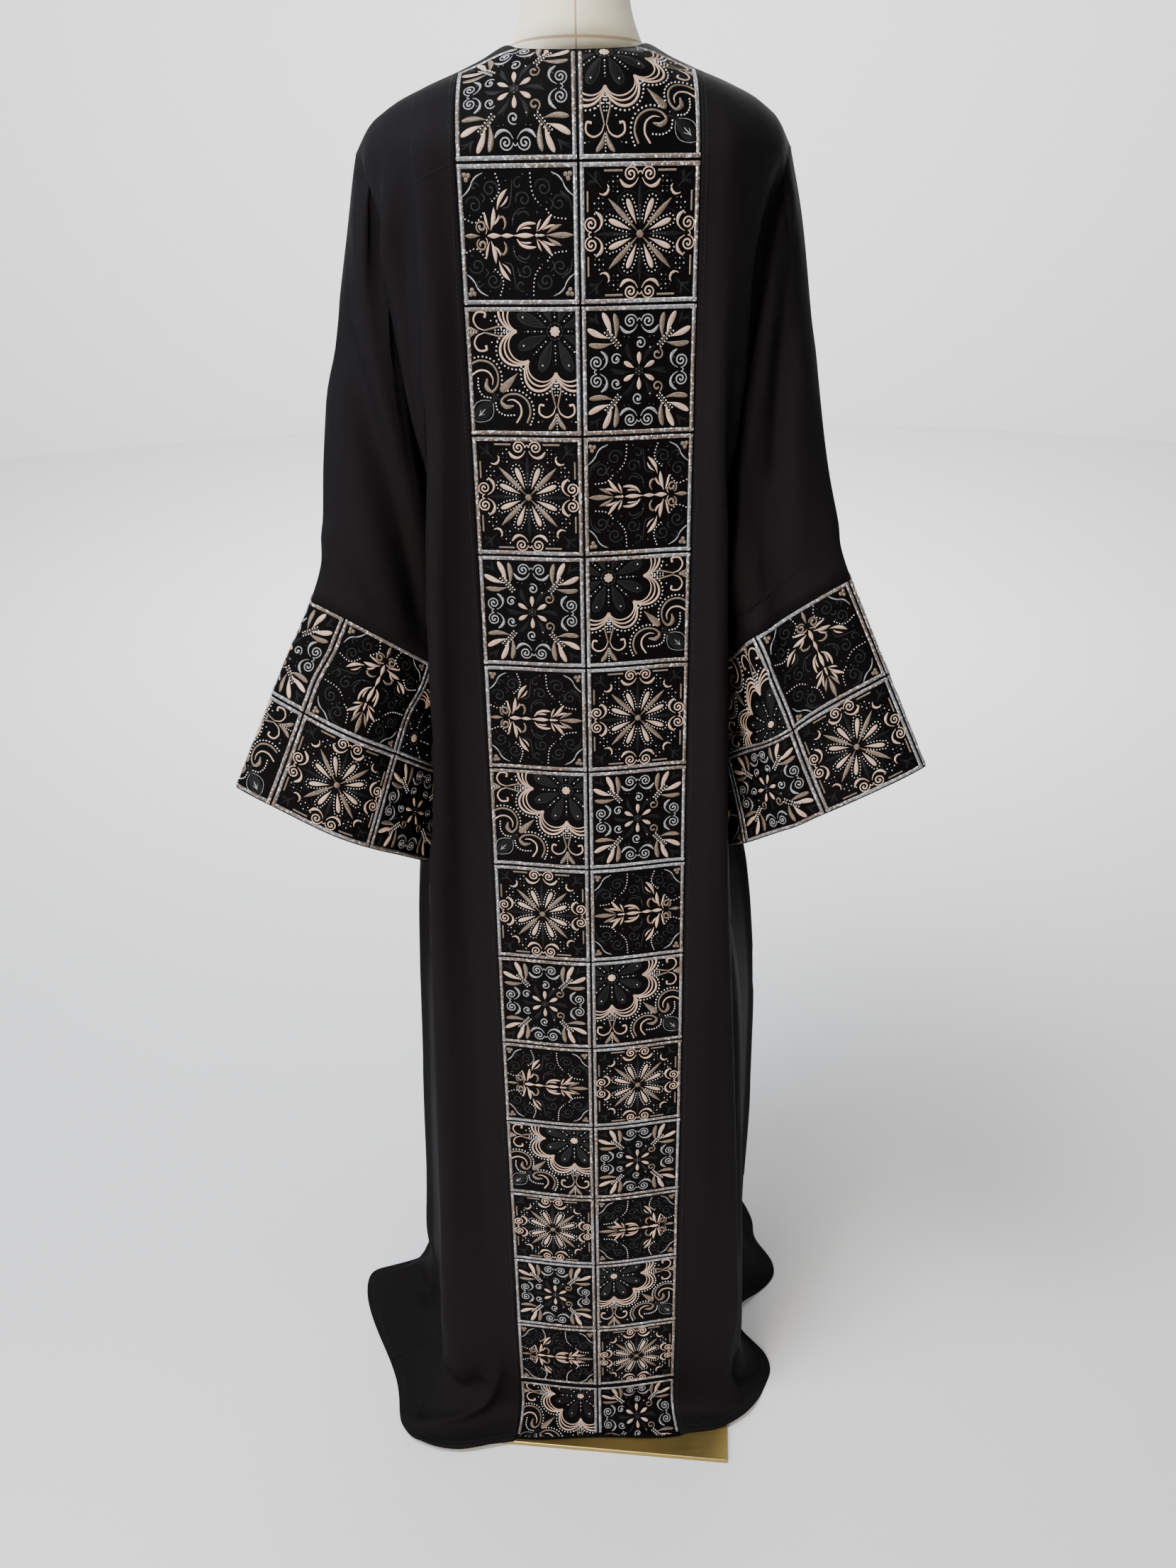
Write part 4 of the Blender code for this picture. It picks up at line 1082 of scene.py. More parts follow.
def tile_a():
    """Six-petalled flower, scroll pairs at the sides and a spray of four drops in each corner."""
    made = []
    for k in range(6):
        turn = 90 + 60 * k
        made.append(drop("peach", polar(5.2, turn), polar(15.4, turn), 5.2, blunt=0.60))
        made.append(lance("black", polar(8, turn + 30), polar(25, turn + 24), 5.4, 0.12))
        line = [polar(8, turn + 34), polar(16, turn + 30), polar(23, turn + 36)]
        made.append(curve("smoke", line, [0.4, 0.5, 0.3]))
    made += [disc("black", (0, 0), 3.8), ("jet", 0, 0, 1)]
    made += [("jet", *polar(3.2, 60 * k + 30), 0.6) for k in range(6)]
    made += round_four(lambda edge: scroll_pair("silver", edge))
    hook = [curl("silver", (1, 22.4), 5, 120, -440, 1.3, 1.2, 2.4), ("bead", 1.2, 22.8, 0.8)]
    made += hook + moved(hook, 180)
    hooks = [
        curl("silver", (-20, 9.8), 4.9, 30, 430, 1.3, 1.2, 2.4), ("bead", -20, 9.8, 0.7),
        curl("taupe", (16.2, 13.2), 4.9, 70, -420, 1.7, 1.2, 2.8), ("bead", 9.6, 19, 0.6),
    ]
    made += upside_down(hooks) + hooks
    stem = curve("taupe", [(17.5, 20), (22.5, 26), (28.5, 32.5)], [0.7, 0.9, 0.7])
    corner = [
        drop("peach", (24, 28), (31.5, 47.2), 6.4, 0.05),
        drop("taupe", (21, 25), (21.6, 46.6), 6.2, 0.08),
        drop("peach", (26.4, 27), (44.4, 34.6), 6.4, -0.05),
        drop("taupe", (22.8, 23), (43.6, 22.2), 6, -0.08),
        stem,
        curve("black", [(34, 38), (38.5, 41), (44, 41.5)], [1, 3.4, 1]),
        curve("black", [(34, 38), (36.5, 42), (37, 47)], [1, 3.4, 1]),
        curve("smoke", [(35, 38.6), (39.5, 42), (44.4, 44)], [0.4, 0.6, 0.4]),
    ]
    corner += beads_along(stem, 2.7, 0.72, 1.7) + beads_along(stem, 2.7, 0.72, -1.7)
    corner += [
        ("jet", 13, 28, 0.7), ("jet", 29, 14.5, 0.7), ("jet", 31, 10.5, 0.6),
        ("bead", 11.5, 31, 0.5), ("jet", 9, 27.5, 0.6),
    ]
    return made + four_corners(corner)


def flower_square():
    """Black flower in one corner, ringed by scallops, with two fleurs and hooks on each side."""
    made = []
    for turn in EIGHTHS:
        petal = drop("black", polar(8.5, turn), polar(34.5, turn), 11)
        made.append(petal)
        _, spine, half = petal
        across = np.array(polar(1, turn + 90))
        for hand in (-1, 1):
            rim = spine + hand * (half[:, None] + 0.15) * across
            made.append(("smoke", rim, np.full(len(rim), 0.26)))
            inner = (spine + hand * half[:, None] * 0.42 * across)[2:-2]
            made.append(("smoke", inner, np.full(len(inner), 0.16)))
        made.append(("bead", *polar(29.5, turn), 0.8))
        row = [polar(11.5 + 2.9 * r, turn + 22.5) for r in range(6)]
        made += [("jet" if r % 2 else "bead", *spot, 0.66) for r, spot in enumerate(row)]
    made += [disc("peach", (0, 0), 3.6)] + [disc("peach", polar(3, 45 * k), 1.3) for k in range(8)]
    made.append(curl("black", (0, 0), 6.6, 0, 360, 1.8, 6.6))
    made += [("jet", *polar(6.6, 30 * k), 0.55) for k in range(12)]
    s, c = np.sin(np.linspace(0, math.pi, 20)), np.cos(np.linspace(0, math.pi, 20))
    for turn in EIGHTHS:
        for chord, rise, width in ((12, 12.4, 1.3), (12.8, 16.4, 1.6), (13.9, 20.8, 2.2)):
            line = np.stack([30.4 + rise * s, -chord * c * (1 + 0.10 * s)], axis=1)
            scallop = moved([("peach", line, width * (0.30 + 0.70 * s**0.7) / 2)], turn)
            made += scallop
        made += beads_along(scallop[0], 2.9, 0.78, -3.4, (0.12, 0.88))
    spear = [(0.4, -36), (2.8, -41), (4, -47.5), (2.4, -54.5), (0.7, -62)]
    fleur = both_hands([
        curve("taupe", spear, [0.7, 1.2, 1.9, 2.2, 1.4]),
        curve("peach", [
            (0.8, -60.5), (3.4, -67), (9.5, -70), (15.2, -66.6), (14.8, -60), (11, -60.2),
        ], [0.7, 1.5, 1.9, 2.1, 2.2, 2.8]),
        drop("taupe", (0.6, -66), (7.6, -80.5), 5.2, -0.10),
        ("bead", 1.3, -43.5, 0.62), ("bead", 1.3, -46.2, 0.62), ("bead", 1.3, -48.9, 0.62),
        ("bead", 1, -51.6, 0.62), ("bead", 7.6, -50, 0.6), ("bead", 8.6, -55, 0.6),
        ("jet", 13, -73.6, 0.7), ("bead", 16.5, -74, 0.7),
    ])
    fleur += [("bead", 0, -39.6 - 2.2 * k, 0.55) for k in range(2)]
    fleur += [("bead", 0, -68 - 2.4 * k, 0.6) for k in range(6)]
    made += fleur + moved(fleur, 90)
    taupe_hook = curve("taupe", [
        (75, -26.5), (66, -23.4), (56.5, -26), (51.2, -34), (51.8, -43.6), (57, -49),
        (61.6, -45), (60.6, -38),
    ], [2.5, 2.5, 2.5, 2.4, 2.4, 3.2, 5.2, 1.6])
    hook = [
        taupe_hook,
        curve("peach", [
            (75, -36), (67.5, -31.6), (60, -32.4), (55.8, -38), (56.2, -43.6),
        ], [2, 2, 1.9, 1.6, 0.6]),
        curve("black", [(47.5, -56), (54, -55), (60, -57.5)], [0.8, 4, 0.8]),
    ]
    hook += beads_along(taupe_hook, 2.8, 0.8, -3.3, (0, 0.62))
    bead_row = [(68.5, -38), (68.6, -46), (65, -52.5), (58.5, -54)]
    hook += beads_along(curve("bead", bead_row, [1] * 4), 2.8, 0.75)
    made += hook + moved(hook, 90, mirror=True)
    leaf = [
        drop("taupe", (47, 0), (69.5, 0), 8.6, blunt=0.80), ("jet", 73.5, 0, 1),
        drop("black", (79, 0), (104, 0), 17, blunt=0.5),
    ]
    for hand in (-1, 1):
        outline = [(80, 0), (87, 4.6), (94, 5.4), (101, 2.6), (104, 0)]
        vein = [(97, 0), (93, 1.6), (88, 2.2)]
        for line, widths in ((outline, [0.6] * 5), (vein, [1.6, 1, 0.4])):
            leaf.append(curve("silver", [polar(out, turn * hand) for out, turn in line], widths))
    leaf.append(curve("silver", [(98, 0), (92, 0), (86, 0)], [1.6, 1.6, 0.5]))
    return moved(made + moved(leaf, -45), shift=(-28, 33))


def sprig_square():
    """Lily sprig lying across the tile, over black scrolls, with a trefoil in each corner."""
    upper = [
        lance("taupe", (23.2, 1.4), (35.8, 7.8), 4, 0.05),
        lance("peach", (15, 2.6), (18.8, 12), 2.4, 0.05),
        lance("peach", (16, 3), (27.4, 15.6), 4, -0.06),
        lance("peach", (19.6, 3.8), (30.4, 7.6), 2.6, 0.06),
        curve("peach", [
            (-1.6, 2.8), (1.8, 6.8), (6.6, 8.7), (11, 9), (14.2, 8.6),
        ], [0.9, 2.6, 3.2, 2.6, 0.9]),
        drop("peach", (0.8, 4.4), (10.4, 5.3), 1.9, 0.08),
        curve("taupe", [
            (-16, 12.6), (-13.6, 14), (-11.4, 12), (-10.8, 8), (-12.6, 4.4),
        ], [1, 2.2, 3, 2.6, 1]),
        lance("peach", (-24.6, 4.4), (-28, 17.6), 2.7, 0.04),
        lance("peach", (-23.4, 3.8), (-20, 20.8), 4.6, -0.05),
        lance("peach", (-22, 7.4), (-15.6, 15.6), 2.4, -0.12),
        lance("peach", (-17.4, 19), (-8.4, 34), 4.4, 0.10),
        lance("peach", (-15, 21), (-7.8, 29), 2.2, -0.10),
        curl("taupe", (-31, 6.8), 4.8, 250, -480, 1.7, 1.2, 3.4),
        curve("peach", [(-27.6, 1.4), (-26.6, 3.6), (-26.6, 6.4)], [0.6, 1, 0.8]),
    ]
    brackets = (
        [(45.2, 29), (41.8, 31.8), (39, 35.2), (37.4, 38.4)],
        [(38.2, 37.2), (36, 40.8), (32.8, 43.6), (28, 45.8)],
    )
    for hand in (-1, 1):
        for line in brackets:
            upper.append(curve("silver", [(hand * x, y) for x, y in line], [0.7, 1.7, 1.5, 0.6]))
        for x, y in ((39.8, 44), (43.2, 44.4), (41.8, 41)):
            upper.append(disc("taupe", (hand * x, y), 1.9))
    for x, y, radius, start, sweep in (
        (-22.6, 34, 6.6, -20, 500), (-36, 22.4, 6.6, 170, -480),
        (21.6, 34.4, 6.8, 170, -520), (34, 23.4, 6.6, 10, 500),
        (5, 26.4, 6.2, 200, -470), (0.8, 37.6, 4.6, 60, 300),
        (8, 13, 8.6, 170, -110), (-35, 36, 3.2, 0, 300),
    ):
        upper.append(curl("smoke", (x, y), radius, start, sweep, 1.1, 1.2, 1.5))
        upper.append(curl("black", (x, y), radius + 0.5, start, sweep * 0.30, 3, radius - 1.4, 0.8))
    for line in (
        [(-5, 7), (-4, 14), (0.5, 19), (6, 20.4)],
        [(-13, 20), (-7, 22), (-5, 31), (-4, 41)],
        [(26, 27), (29, 23), (27, 19)], [(-30, 31), (-27, 28), (-29, 25)],
        [(44, 18), (42, 27), (35, 32)],
    ):
        upper.append(curve("smoke", line, [0.7, 1.3, 1.1, 0.7][: len(line)]))
    for line in (
        [(-17.4, 45), (-14.6, 37), (-15.5, 31), (-21, 25.4)],
        [(-44.3, 12.4), (-37, 9.6), (-32.6, 12), (-29, 16.6)],
        [(10.9, 45), (11.4, 36), (13.2, 29), (16.8, 24.4)],
        [(23.6, 19), (26.6, 15), (31.4, 12.8), (39, 12)],
    ):
        upper += beads_along(curve("bead", line, [1] * 4), 3, 0.62)
    scattered = (
        (-26, 42), (-9, 40), (0, 30), (5, 44.6), (16, 17), (-22, 27), (-4, 12), (19, 22),
        (28, 30), (30, 44), (-40, 15), (24, 24),
    )
    upper += [("jet", *spot, 0.75) for spot in scattered]
    return upper + upside_down(upper) + [
        lance("taupe", (22.6, 0), (45.6, 0), 6.2), lance("peach", (13.4, 0), (21.8, 0), 2.6),
        disc("peach", (15, 0), 1.3), lance("peach", (-4.4, 0), (12.6, 0), 4.8),
        curve("peach", [(-14.6, 0), (-10, 0), (-4.6, 0)], [1, 4.4, 0.9]),
        curve("peach", [(-26, 0), (-21, 0), (-15, 0)], [1.2, 5.2, 1]),
        lance("taupe", (-33, 0), (-45.4, 0), 4.8),
    ]


def rosette_square():
    """Eight-petalled rosette outlined with beads, leaves on the diagonals, scrolls at the sides."""
    made = []
    for turn in EIGHTHS:
        petal = drop("peach", polar(8, turn), polar(28, turn), 5.6, blunt=0.74)
        made.append(petal)
        _, spine, half = petal
        across = np.array(polar(1, turn + 90))
        rims = [spine + hand * (half[:, None] + 2.2) * across for hand in (-1, 1)]
        cap = np.array([polar(4.4, turn + a, polar(26.4, turn)) for a in (-60, -20, 20, 60)])
        round_petal = np.concatenate([rims[0][1:-1], cap, rims[1][1:-1][::-1]])
        made += beads_along(("bead", round_petal), 2.9, 0.60)
        made.append(curl("smoke", polar(24, turn), 9.4, turn - 80, 160, 0.4, 9.4))
    for k in range(4):
        made.append(lance("taupe", polar(3, 45 + 90 * k), polar(37, 45 + 90 * k), 5.6))
        made.append(lance("black", polar(5, 90 * k), polar(37, 90 * k), 4.6))
        line = [polar(6, 90 * k), polar(20, 90 * k + 2), polar(38, 90 * k)]
        made.append(curve("smoke", line, [0.4, 0.8, 0.4]))
        made += [("jet", *polar(9 + 2.4 * n, 90 * k), 0.6) for n in range(6)]
    made.append(disc("taupe", (0, 0), 3))
    made += round_four(lambda edge: scroll_pair("peach", edge + 3.4))
    bars = [
        curve("taupe", [(x, INNER_Y - 2.4) for x in (14.5, 22, 29.5)], [2.3] * 3),
        curve("taupe", [(INNER_X - 2.4, y) for y in (16.5, 24, 31.5)], [2.3] * 3),
        curl("peach", (30.4, 33.4), 4.6, 140, 170, 1.4, 4.6, 1.4),
        curl("peach", (30.4, 33.4), 4.6, 180, 90, 2.6, 4.6, 2.6),
        curve("smoke", [(31, 33.5), (36, 39), (43, 45)], [0.5, 0.9, 0.4]),
        lance("black", (34, 37), (43, 37.5), 3.4, 0.1),
        lance("black", (34.5, 37.5), (35.5, 46.5), 3.4, -0.1),
        lance("smoke", (35, 38), (42.5, 35), 0.7, 0.2),
        lance("smoke", (35, 38), (33, 45.5), 0.7, -0.2),
    ]
    for least, every, x, y, right, up in (
        (0, 3, 18.5, 31, 3.6, 3.6), (1, 2, 30.5, 15, 3.4, 3.8),
    ):
        for n in range(3):
            for m in range(4):
                if least <= n + m < 5:
                    kind = "jet" if (n + m) % every else "bead"
                    bars.append((kind, x + right * n, y + up * m, 0.6))
    return made + four_corners(bars)


KINDS = {"A": tile_a(), "B": flower_square(), "C": sprig_square(), "D": rosette_square()}
KINDS["b"], KINDS["c"] = moved(KINDS["B"], mirror=True), moved(KINDS["C"], mirror=True)
# Left and right tile of each row, then again from the first.
ROWS = (("A", "B"), ("C", "D"), ("b", "A"), ("D", "c"))
SPINE_CROSS = np.array([-1.0, -0.62, 0.0, 0.62, 1.0])
SPINE_RISE = np.array([-0.08, 0.74, 1.0, 0.74, -0.08])


def frame_work(top, foot):
    """The bars of one tile's frame. top and foot are the y of its outer edges."""
    x = (TILE_WIDE - FRAME_GAP - FRAME_BAR) / 2
    up, down = top - FRAME_BAR / 2, foot + FRAME_BAR / 2
    bars = []
    corners = np.array([(-x, up), (x, up), (x, down), (-x, down), (-x, up)])
    for start, end in zip(corners, corners[1:]):
        way = (end - start) / np.linalg.norm(end - start) * FRAME_BAR / 2
        bar = start - way + (end - start + 2 * way) * np.linspace(0, 1, 22)[:, None]
        bars.append(("frame", bar, np.full(22, FRAME_BAR / 2)))
    return bars


class Sewn:
    """Stitches and beads gathered for one place, thread by thread, in strip distances (metres)."""

    def __init__(self):
        self.parts, self.count = {}, {}

    def add(self, kind, points, faces, maps):
        start = self.count.get(kind, 0)
        self.parts.setdefault(kind, []).append((points, faces + start, maps))
        self.count[kind] = start + len(points)

    def sew(self, work, x, t):
        """Puts a tile's work with its middle at strip place (x, t)."""
        for kind, *where, size in work:
            if len(where) == 2:
                self.add_bead(kind, *where, size, x, t)
            else:
                self.add_thread(kind, where[0], size, x, t)

    def add_bead(self, kind, bx, by, radius, x, t):
        if abs(bx) > INNER_X - 0.4 or not -INNER_Y + 0.4 <= by <= INNER_Y - 0.3:
            return
        ring, k = np.arange(6) * math.pi / 3, np.arange(6)
        px = bx + radius * np.concatenate([np.cos(ring), 0.72 * np.cos(ring + 0.5), [0]])
        py = by + radius * np.concatenate([np.sin(ring), 0.72 * np.sin(ring + 0.5), [0]])
        rise = radius * np.array([0.1] * 6 + [1.0] * 6 + [1.35])
        n, top = (k + 1) % 6, np.full(6, 12)
        faces = [np.stack([k, n, n + 6, k + 6], axis=1), np.stack([k + 6, n + 6, top, top], axis=1)]
        points = np.stack([x + px / 1000, t - py / 1000, rise / 1000], axis=1)
        self.add(kind, points, np.concatenate(faces), np.zeros((13, 2)))

    def add_thread(self, kind, spine, half, x, t):
        """A low ridge of thread, cut off where it would reach under the frame."""
        limit = np.array([999, 999] if kind == "frame" else [INNER_X + 0.9, INNER_Y + 0.9])
        wide = half[:, None] * SPINE_CROSS
        cross = spine[:, None, :] + aside(spine)[:, None, :] * wide[..., None]
        inside = (np.abs(cross) < limit).all(axis=-1)
        if not inside.any():
            return
        rise = THREAD_RISE[kind] * np.minimum(1, half / 0.9)[:, None] * SPINE_RISE
        rise = np.where(inside, rise, -0.08)
        px, py = np.moveaxis(np.clip(cross, -limit, limit), -1, 0)
        points = np.stack([x + px / 1000, t - py / 1000, rise / 1000], axis=-1).reshape(-1, 3)
        run = run_along(spine)[:, None] / 1000 + x + t
        maps = np.stack([run * np.ones_like(wide), wide / 1000], axis=-1).reshape(-1, 2)
        number = np.arange(wide.size).reshape(wide.shape)
        corners = [number[:-1, :-1], number[:-1, 1:], number[1:, 1:], number[1:, :-1]]
        faces = np.stack(corners, axis=-1).reshape(-1, 4)
        self.add(kind, points, faces[inside.reshape(-1)[faces].any(axis=1)], maps)


class Strip:
    """The cloth under a strip of tiles, read at (x across, t along)."""

    def __init__(self, across, t, points, normals, first, last):
        self.across, self.t, self.points, self.normals = across, t, points, normals
        self.first, self.last = first, last

    def read(self, table, x, t):
        column = np.interp(x, self.across, np.arange(len(self.across)))
        row = np.interp(t, self.t, np.arange(len(self.t)))
        c = np.minimum(column.astype(int), len(self.across) - 2)
        r = np.minimum(row.astype(int), len(self.t) - 2)
        right, down = (column - c)[:, None], (row - r)[:, None]
        above = table[r, c] * (1 - right) + table[r, c + 1] * right
        below = table[r + 1, c] * (1 - right) + table[r + 1, c + 1] * right
        return above * (1 - down) + below * down

    def on_cloth(self, x, t):
        first, last = np.interp(x, self.across, self.first), np.interp(x, self.across, self.last)
        return (t > first) & (t < last)


THREADS = {}


def thread_finish(name, colour, roughness, metallic, twist, shine, spread=0.34):
    """Rayon thread laid side by side across each shape: fine ribs and a gloss that varies."""
    dark = max(colour) < 0.05
    made = Finish(name, colour, roughness, metallic, Specular_IOR_Level=0.12 if dark else 0.5)
    run, across = made.uv()
    rib = (run * (PER_MM / twist)).wave() * 0.5 + 0.5
    fleck = made.noise(made.vector(run * 1800, across * 260, 0.0), 1.0)
    cloud = made.noise(made.place(), 60.0 if spread < 0.5 else 900.0)
    share = (fleck * 0.55 + cloud * 0.45).step(0.34, 0.66)
    made.feed("Base Color", made.tint(colour, spread, share))
    made.feed("Roughness", roughness - shine * 0.5 + fleck * shine)
    made.bump(rib * 0.00010 + fleck * 0.00012, 1.0, 0.8)
    return made


# Columns: thread, colour, roughness, metallic, twist, shine, spread.
for thread, *looks in (
    ("peach", (0.55, 0.365, 0.265), 0.46, 0.0, 0.45, 0.2),
    ("taupe", (0.165, 0.12, 0.086), 0.40, 0.40, 0.40, 0.3, 0.6),
    ("silver", (0.29, 0.29, 0.30), 0.36, 0.5, 0.40, 0.3, 0.5),
    ("black", (0.0030, 0.0028, 0.0034), 0.50, 0.0, 0.50, 0.2),
    ("smoke", (0.016, 0.015, 0.018), 0.46, 0.0, 0.50, 0.2),
):
    THREADS[thread] = thread_finish(thread + "_thread", *looks)
# The frames are worked in tinsel: brown and grey ground colours with bright metal strands, whose
# sparkle is partly painted into the colour as painted glints.
BROWN_GROUND, GREY_GROUND = (0.135, 0.10, 0.08, 1), (0.20, 0.20, 0.21, 1)
GLINT = (0.92, 0.90, 0.90, 1)
tinsel = Finish("frame_thread", GREY_GROUND[:3], 0.36, 0.6, Specular_IOR_Level=0.5)
place = tinsel.place()
run, across_bar = tinsel.uv()
spark = tinsel.noise(place, 430.0, 2.0, 0.7)
glint = spark.step(0.55, 0.63)
tone = tinsel.noise(place, 14.0).step(0.40, 0.62)
ground_colour = tinsel.blend(tone, BROWN_GROUND, GREY_GROUND)
# Near-white spots in the base colour are painted glints. The roughness also drops there, for the
# strands' real shine.
tinsel.feed("Base Color", tinsel.blend(glint, ground_colour, GLINT))
tinsel.feed("Roughness", 0.46 - glint * 0.24)
tinsel.bump(spark * 0.0003 + (run * (PER_MM / 0.8)).wave() * 0.00008, 1.0, 1.0)
THREADS["frame"] = tinsel
BEAD, JET = (0.76, 0.73, 0.69), (0.02, 0.02, 0.024)
glass = Finish("glass_bead", BEAD, 0.16, Coat_Weight=0.8, Coat_Roughness=0.05)
glass.feed("Base Color", glass.tint(BEAD, 0.16, glass.noise(glass.place(), 300.0)))
jet = Finish("jet_bead", JET, 0.10, Coat_Weight=0.8, Coat_Roughness=0.04)
jet.feed("Roughness", 0.08 + jet.noise(jet.place(), 300.0) * 0.10)
THREADS["bead"], THREADS["jet"] = glass, jet


def mesh_piece(name, points, faces, finish, maps=None):
    """A piece made of loose stitches or beads."""
    mesh = bpy.data.meshes.new(name)
    mesh.from_pydata(points, [], faces)
    layer = mesh.uv_layers.new(name="UVMap")
    if maps is not None:
        corner = np.empty(len(mesh.loops), np.int32)
        mesh.loops.foreach_get("vertex_index", corner)
        layer.uv.foreach_set("vector", maps[corner].reshape(-1).astype(np.float32))
    piece = bpy.data.objects.new(name, mesh)
    bpy.context.scene.collection.objects.link(piece)
    mesh.shade_smooth()
    mesh.materials.append(finish.material)
    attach(piece, "root")
    return piece


def sewn_pieces(place_name, sewn, strip):
    """One piece for each thread or bead, laid on the strip's cloth."""
    made = []
    for kind, parts in sewn.parts.items():
        flat, faces, maps = (np.concatenate(column) for column in zip(*parts))
        faces = faces[strip.on_cloth(flat[:, 0], flat[:, 1])[faces].all(axis=1)]
        used, faces_at = np.unique(faces, return_inverse=True)
        faces, (x, t, lift) = faces_at.reshape(faces.shape), flat[used].T
        outward = strip.read(strip.normals, x, t)
        points = strip.read(strip.points, x, t) + outward * lift[:, None]
        # A bead's top faces are written with their last point twice.
        rows = [tuple(f) if f[2] != f[3] else tuple(f[:3]) for f in faces.tolist()]
        name = place_name + "_" + kind
        piece = mesh_piece(name, points, rows, THREADS[kind], maps[used])
        face_out(piece.data, points, outward)
        made.append(piece)
    return made


def resampled(tables, keys, at):
    """Columns of points read at the same places, keys giving each column's own distances."""
    return np.stack([read_along(table, key, at) for table, key in zip(tables, keys)], axis=1)


# The band down the back. Distances run down from the cloth's level row.
PITCH, FOURTH_SEPARATOR, LAST_ROW = TILE_HIGH / 1000, 0.008, 15
END_CUT = 2.5  # how much the last row's tiles are shortened, and the row above them
HALF_TILE = (TILE_HIGH - FRAME_GAP) / 2
level = arm_from
band_length = lengths(band, 0)
down = band_length[level][None, :] - band_length
t_steps = np.linspace(down.min(), down.max(), 560)
upward = [
    resampled(table[::-1].swapaxes(0, 1), down[::-1].T, t_steps)
    for table in (band, outward_of(band))
]
back_strip = Strip(band_across, t_steps, *upward, down[-1] + 0.0012, down[0] - 0.0012)
back_work = Sewn()
for row in range(1, LAST_ROW + 1):
    middle_t = FOURTH_SEPARATOR + (row - 4.5) * PITCH
    top = HALF_TILE - (END_CUT if row == LAST_ROW else 0)
    foot = -HALF_TILE + (END_CUT if row == LAST_ROW - 1 else 0)
    for column, kind in zip((-1, 1), ROWS[(row - 1) % 4]):
        work = KINDS[kind] + frame_work(top, foot)
        back_work.sew(work, column * TILE_WIDE / 2000, middle_t)
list(sewn_pieces("back_embroidery", back_work, back_strip))

# The cuffs: the same strip turned on its side, its left column along the cuff's upper edge.
CUFF_TILES = 5
# Pitches from the outer fold to the first tile, and its row.
CUFF_START = {"right": (0.04, 1), "left": (-0.62, 0)}
for side, (start, first_row) in CUFF_START.items():
    cuff = PIECES["cuff_" + side]
    ring, normals = (
        np.concatenate([grid, grid[:, :1]], axis=1) for grid in (cuff, outward_of(cuff, True))
    )
    ring_length = lengths(ring, 1)
    t_steps = np.linspace(-1, CUFF_TILES + 1, 561)
    turn = np.mod(t_steps / CUFF_TILES, 1.0)
    share = ring_length / ring_length[:, -1:]
    tables = [resampled(table, share, turn) for table in (ring, normals)]
    along_cuff = np.linspace(-0.1, 0.1, len(cuff))
    ends = [np.full(len(cuff), tiles * PITCH) for tiles in (-1, CUFF_TILES + 1)]
    cuff_strip = Strip(along_cuff, t_steps * PITCH, *tables, *ends)
    cuff_work = Sewn()
    for number in range(CUFF_TILES):
        for column, kind in zip((-1, 1), ROWS[(first_row + number) % 4]):
            work = KINDS[kind] + frame_work(HALF_TILE, -HALF_TILE)
            cuff_work.sew(work, column * TILE_WIDE / 2000, (start + number + 0.5) * PITCH)
    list(sewn_pieces("cuff_embroidery_" + side, cuff_work, cuff_strip))


# ---- Topstitching ----
# Black thread a shade shinier than the crepe. A line of stitches holds each back
# panel beside the band, the neck facing, the rolled hem and the armhole seams.
STITCH, GAP, THREAD_WIDTH, THREAD_HEIGHT = 0.0028, 0.0010, 0.00042, 0.00042
BESIDE_BAND, HEM_FOLD, FRONT_HEM = 0.0045, 0.0090, 0.0120  # how far in from an edge each line lies
# The neck facing's edge under the left back. Columns: x, height.
FACING_LEFT = (
    (-0.1008, 1.503), (-0.1027, 1.476), (-0.1053, 1.441), (-0.1170, 1.436), (-0.1319, 1.430),
    (-0.1345, 1.460), (-0.1350, 1.486),
)
black_stitch = thread_finish("topstitch_thread", (0.012, 0.0115, 0.013), 0.50, 0.0, 0.40, 0.2)


def inside_edge(grid, normals, axis, edge, distance):
    """The line at a distance in from one edge of a piece, with the cloth's normals there."""
    g, n = np.moveaxis(grid, axis, 1), np.moveaxis(normals, axis, 1)
    if edge == -1:
        g, n = g[:, ::-1], n[:, ::-1]
    near = np.concatenate([g, n], axis=2)[:, :12]
    found = np.array([read_along(table, run_along(table[:, :3]), distance) for table in near])
    return found[:, :3], found[:, 3:]


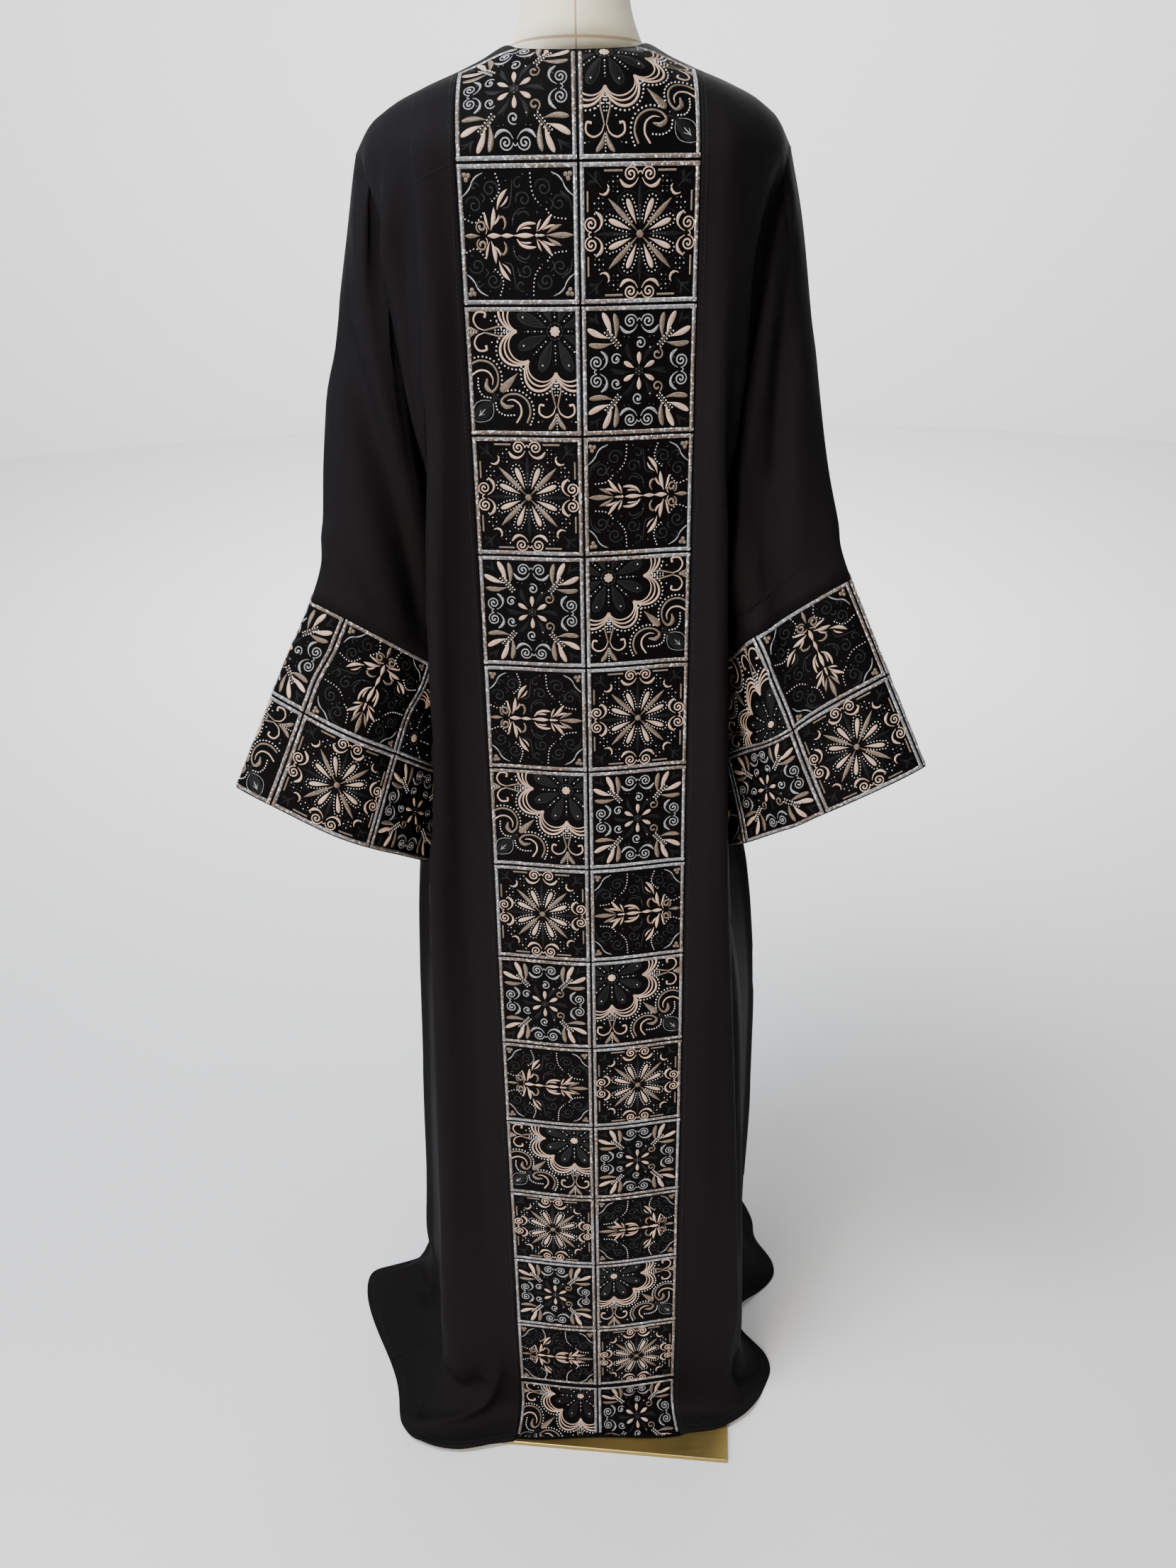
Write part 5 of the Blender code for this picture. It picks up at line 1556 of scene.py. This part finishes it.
def stitched(name, lines):
    """Rows of short stitches, each a small ridge of thread lying along its line."""
    points, faces = [], []
    for line, normals in lines:
        run = run_along(line)
        for start in np.arange(0.001, run[-1] - STITCH, STITCH + GAP):
            spine = read_along(line, run, start + STITCH * np.array([0.0, 0.25, 0.75, 1.0]))
            up = read_along(normals, run, start)
            up /= np.linalg.norm(up)
            wide = np.cross(spine[-1] - spine[0], up)
            wide *= THREAD_WIDTH / np.linalg.norm(wide)
            a = len(points) * 3
            for place, full in zip(spine, (0, 1, 1, 0)):
                spread, high = wide * (1.0 if full else 0.5), THREAD_HEIGHT * 1.4 * full + 0.0001
                points.append([place + spread, place + up * high, place - spread])
            for a in (a, a + 3, a + 6):
                faces += [(a, a + 1, a + 4, a + 3), (a + 1, a + 2, a + 5, a + 4)]
    return mesh_piece(name, np.array(points).reshape(-1, 3), faces, black_stitch)


for side in ("left", "right"):
    back, front = PIECES["back_" + side], PIECES["front_" + side]
    back_normals, front_normals = outward_of(back), outward_of(front)
    on_back = [
        inside_edge(back, back_normals, 1, 0, BESIDE_BAND),
        inside_edge(back, back_normals, 0, 0, HEM_FOLD),
        (back[arm_from:, -1], back_normals[arm_from:, -1]),
    ]
    on_front = [
        inside_edge(front, front_normals, 0, 0, HEM_FOLD),
        inside_edge(front, front_normals, 1, -1, FRONT_HEM),
    ]
    if side == "left":
        # Each point of the facing's edge takes its depth and normal from the nearest four.
        cloth_points, cloth_normals = back.reshape(-1, 3), back_normals.reshape(-1, 3)
        facing, facing_normals = [], []
        for x, z in along(FACING_LEFT, np.linspace(0, 1, 60), 0, len(FACING_LEFT) - 1):
            gap = np.hypot(cloth_points[:, 0] - x, cloth_points[:, 2] - z)
            near = np.argsort(gap)[:4]
            share = 1 / (1e-6 + gap[near])
            share /= share.sum()
            facing.append([x, cloth_points[near, 1] @ share, z])
            facing_normals.append(share @ cloth_normals[near])
        on_back.append((np.array(facing), np.array(facing_normals)))
    stitched("topstitch_back_" + side, on_back)
    stitched("topstitch_front_" + side, on_front)
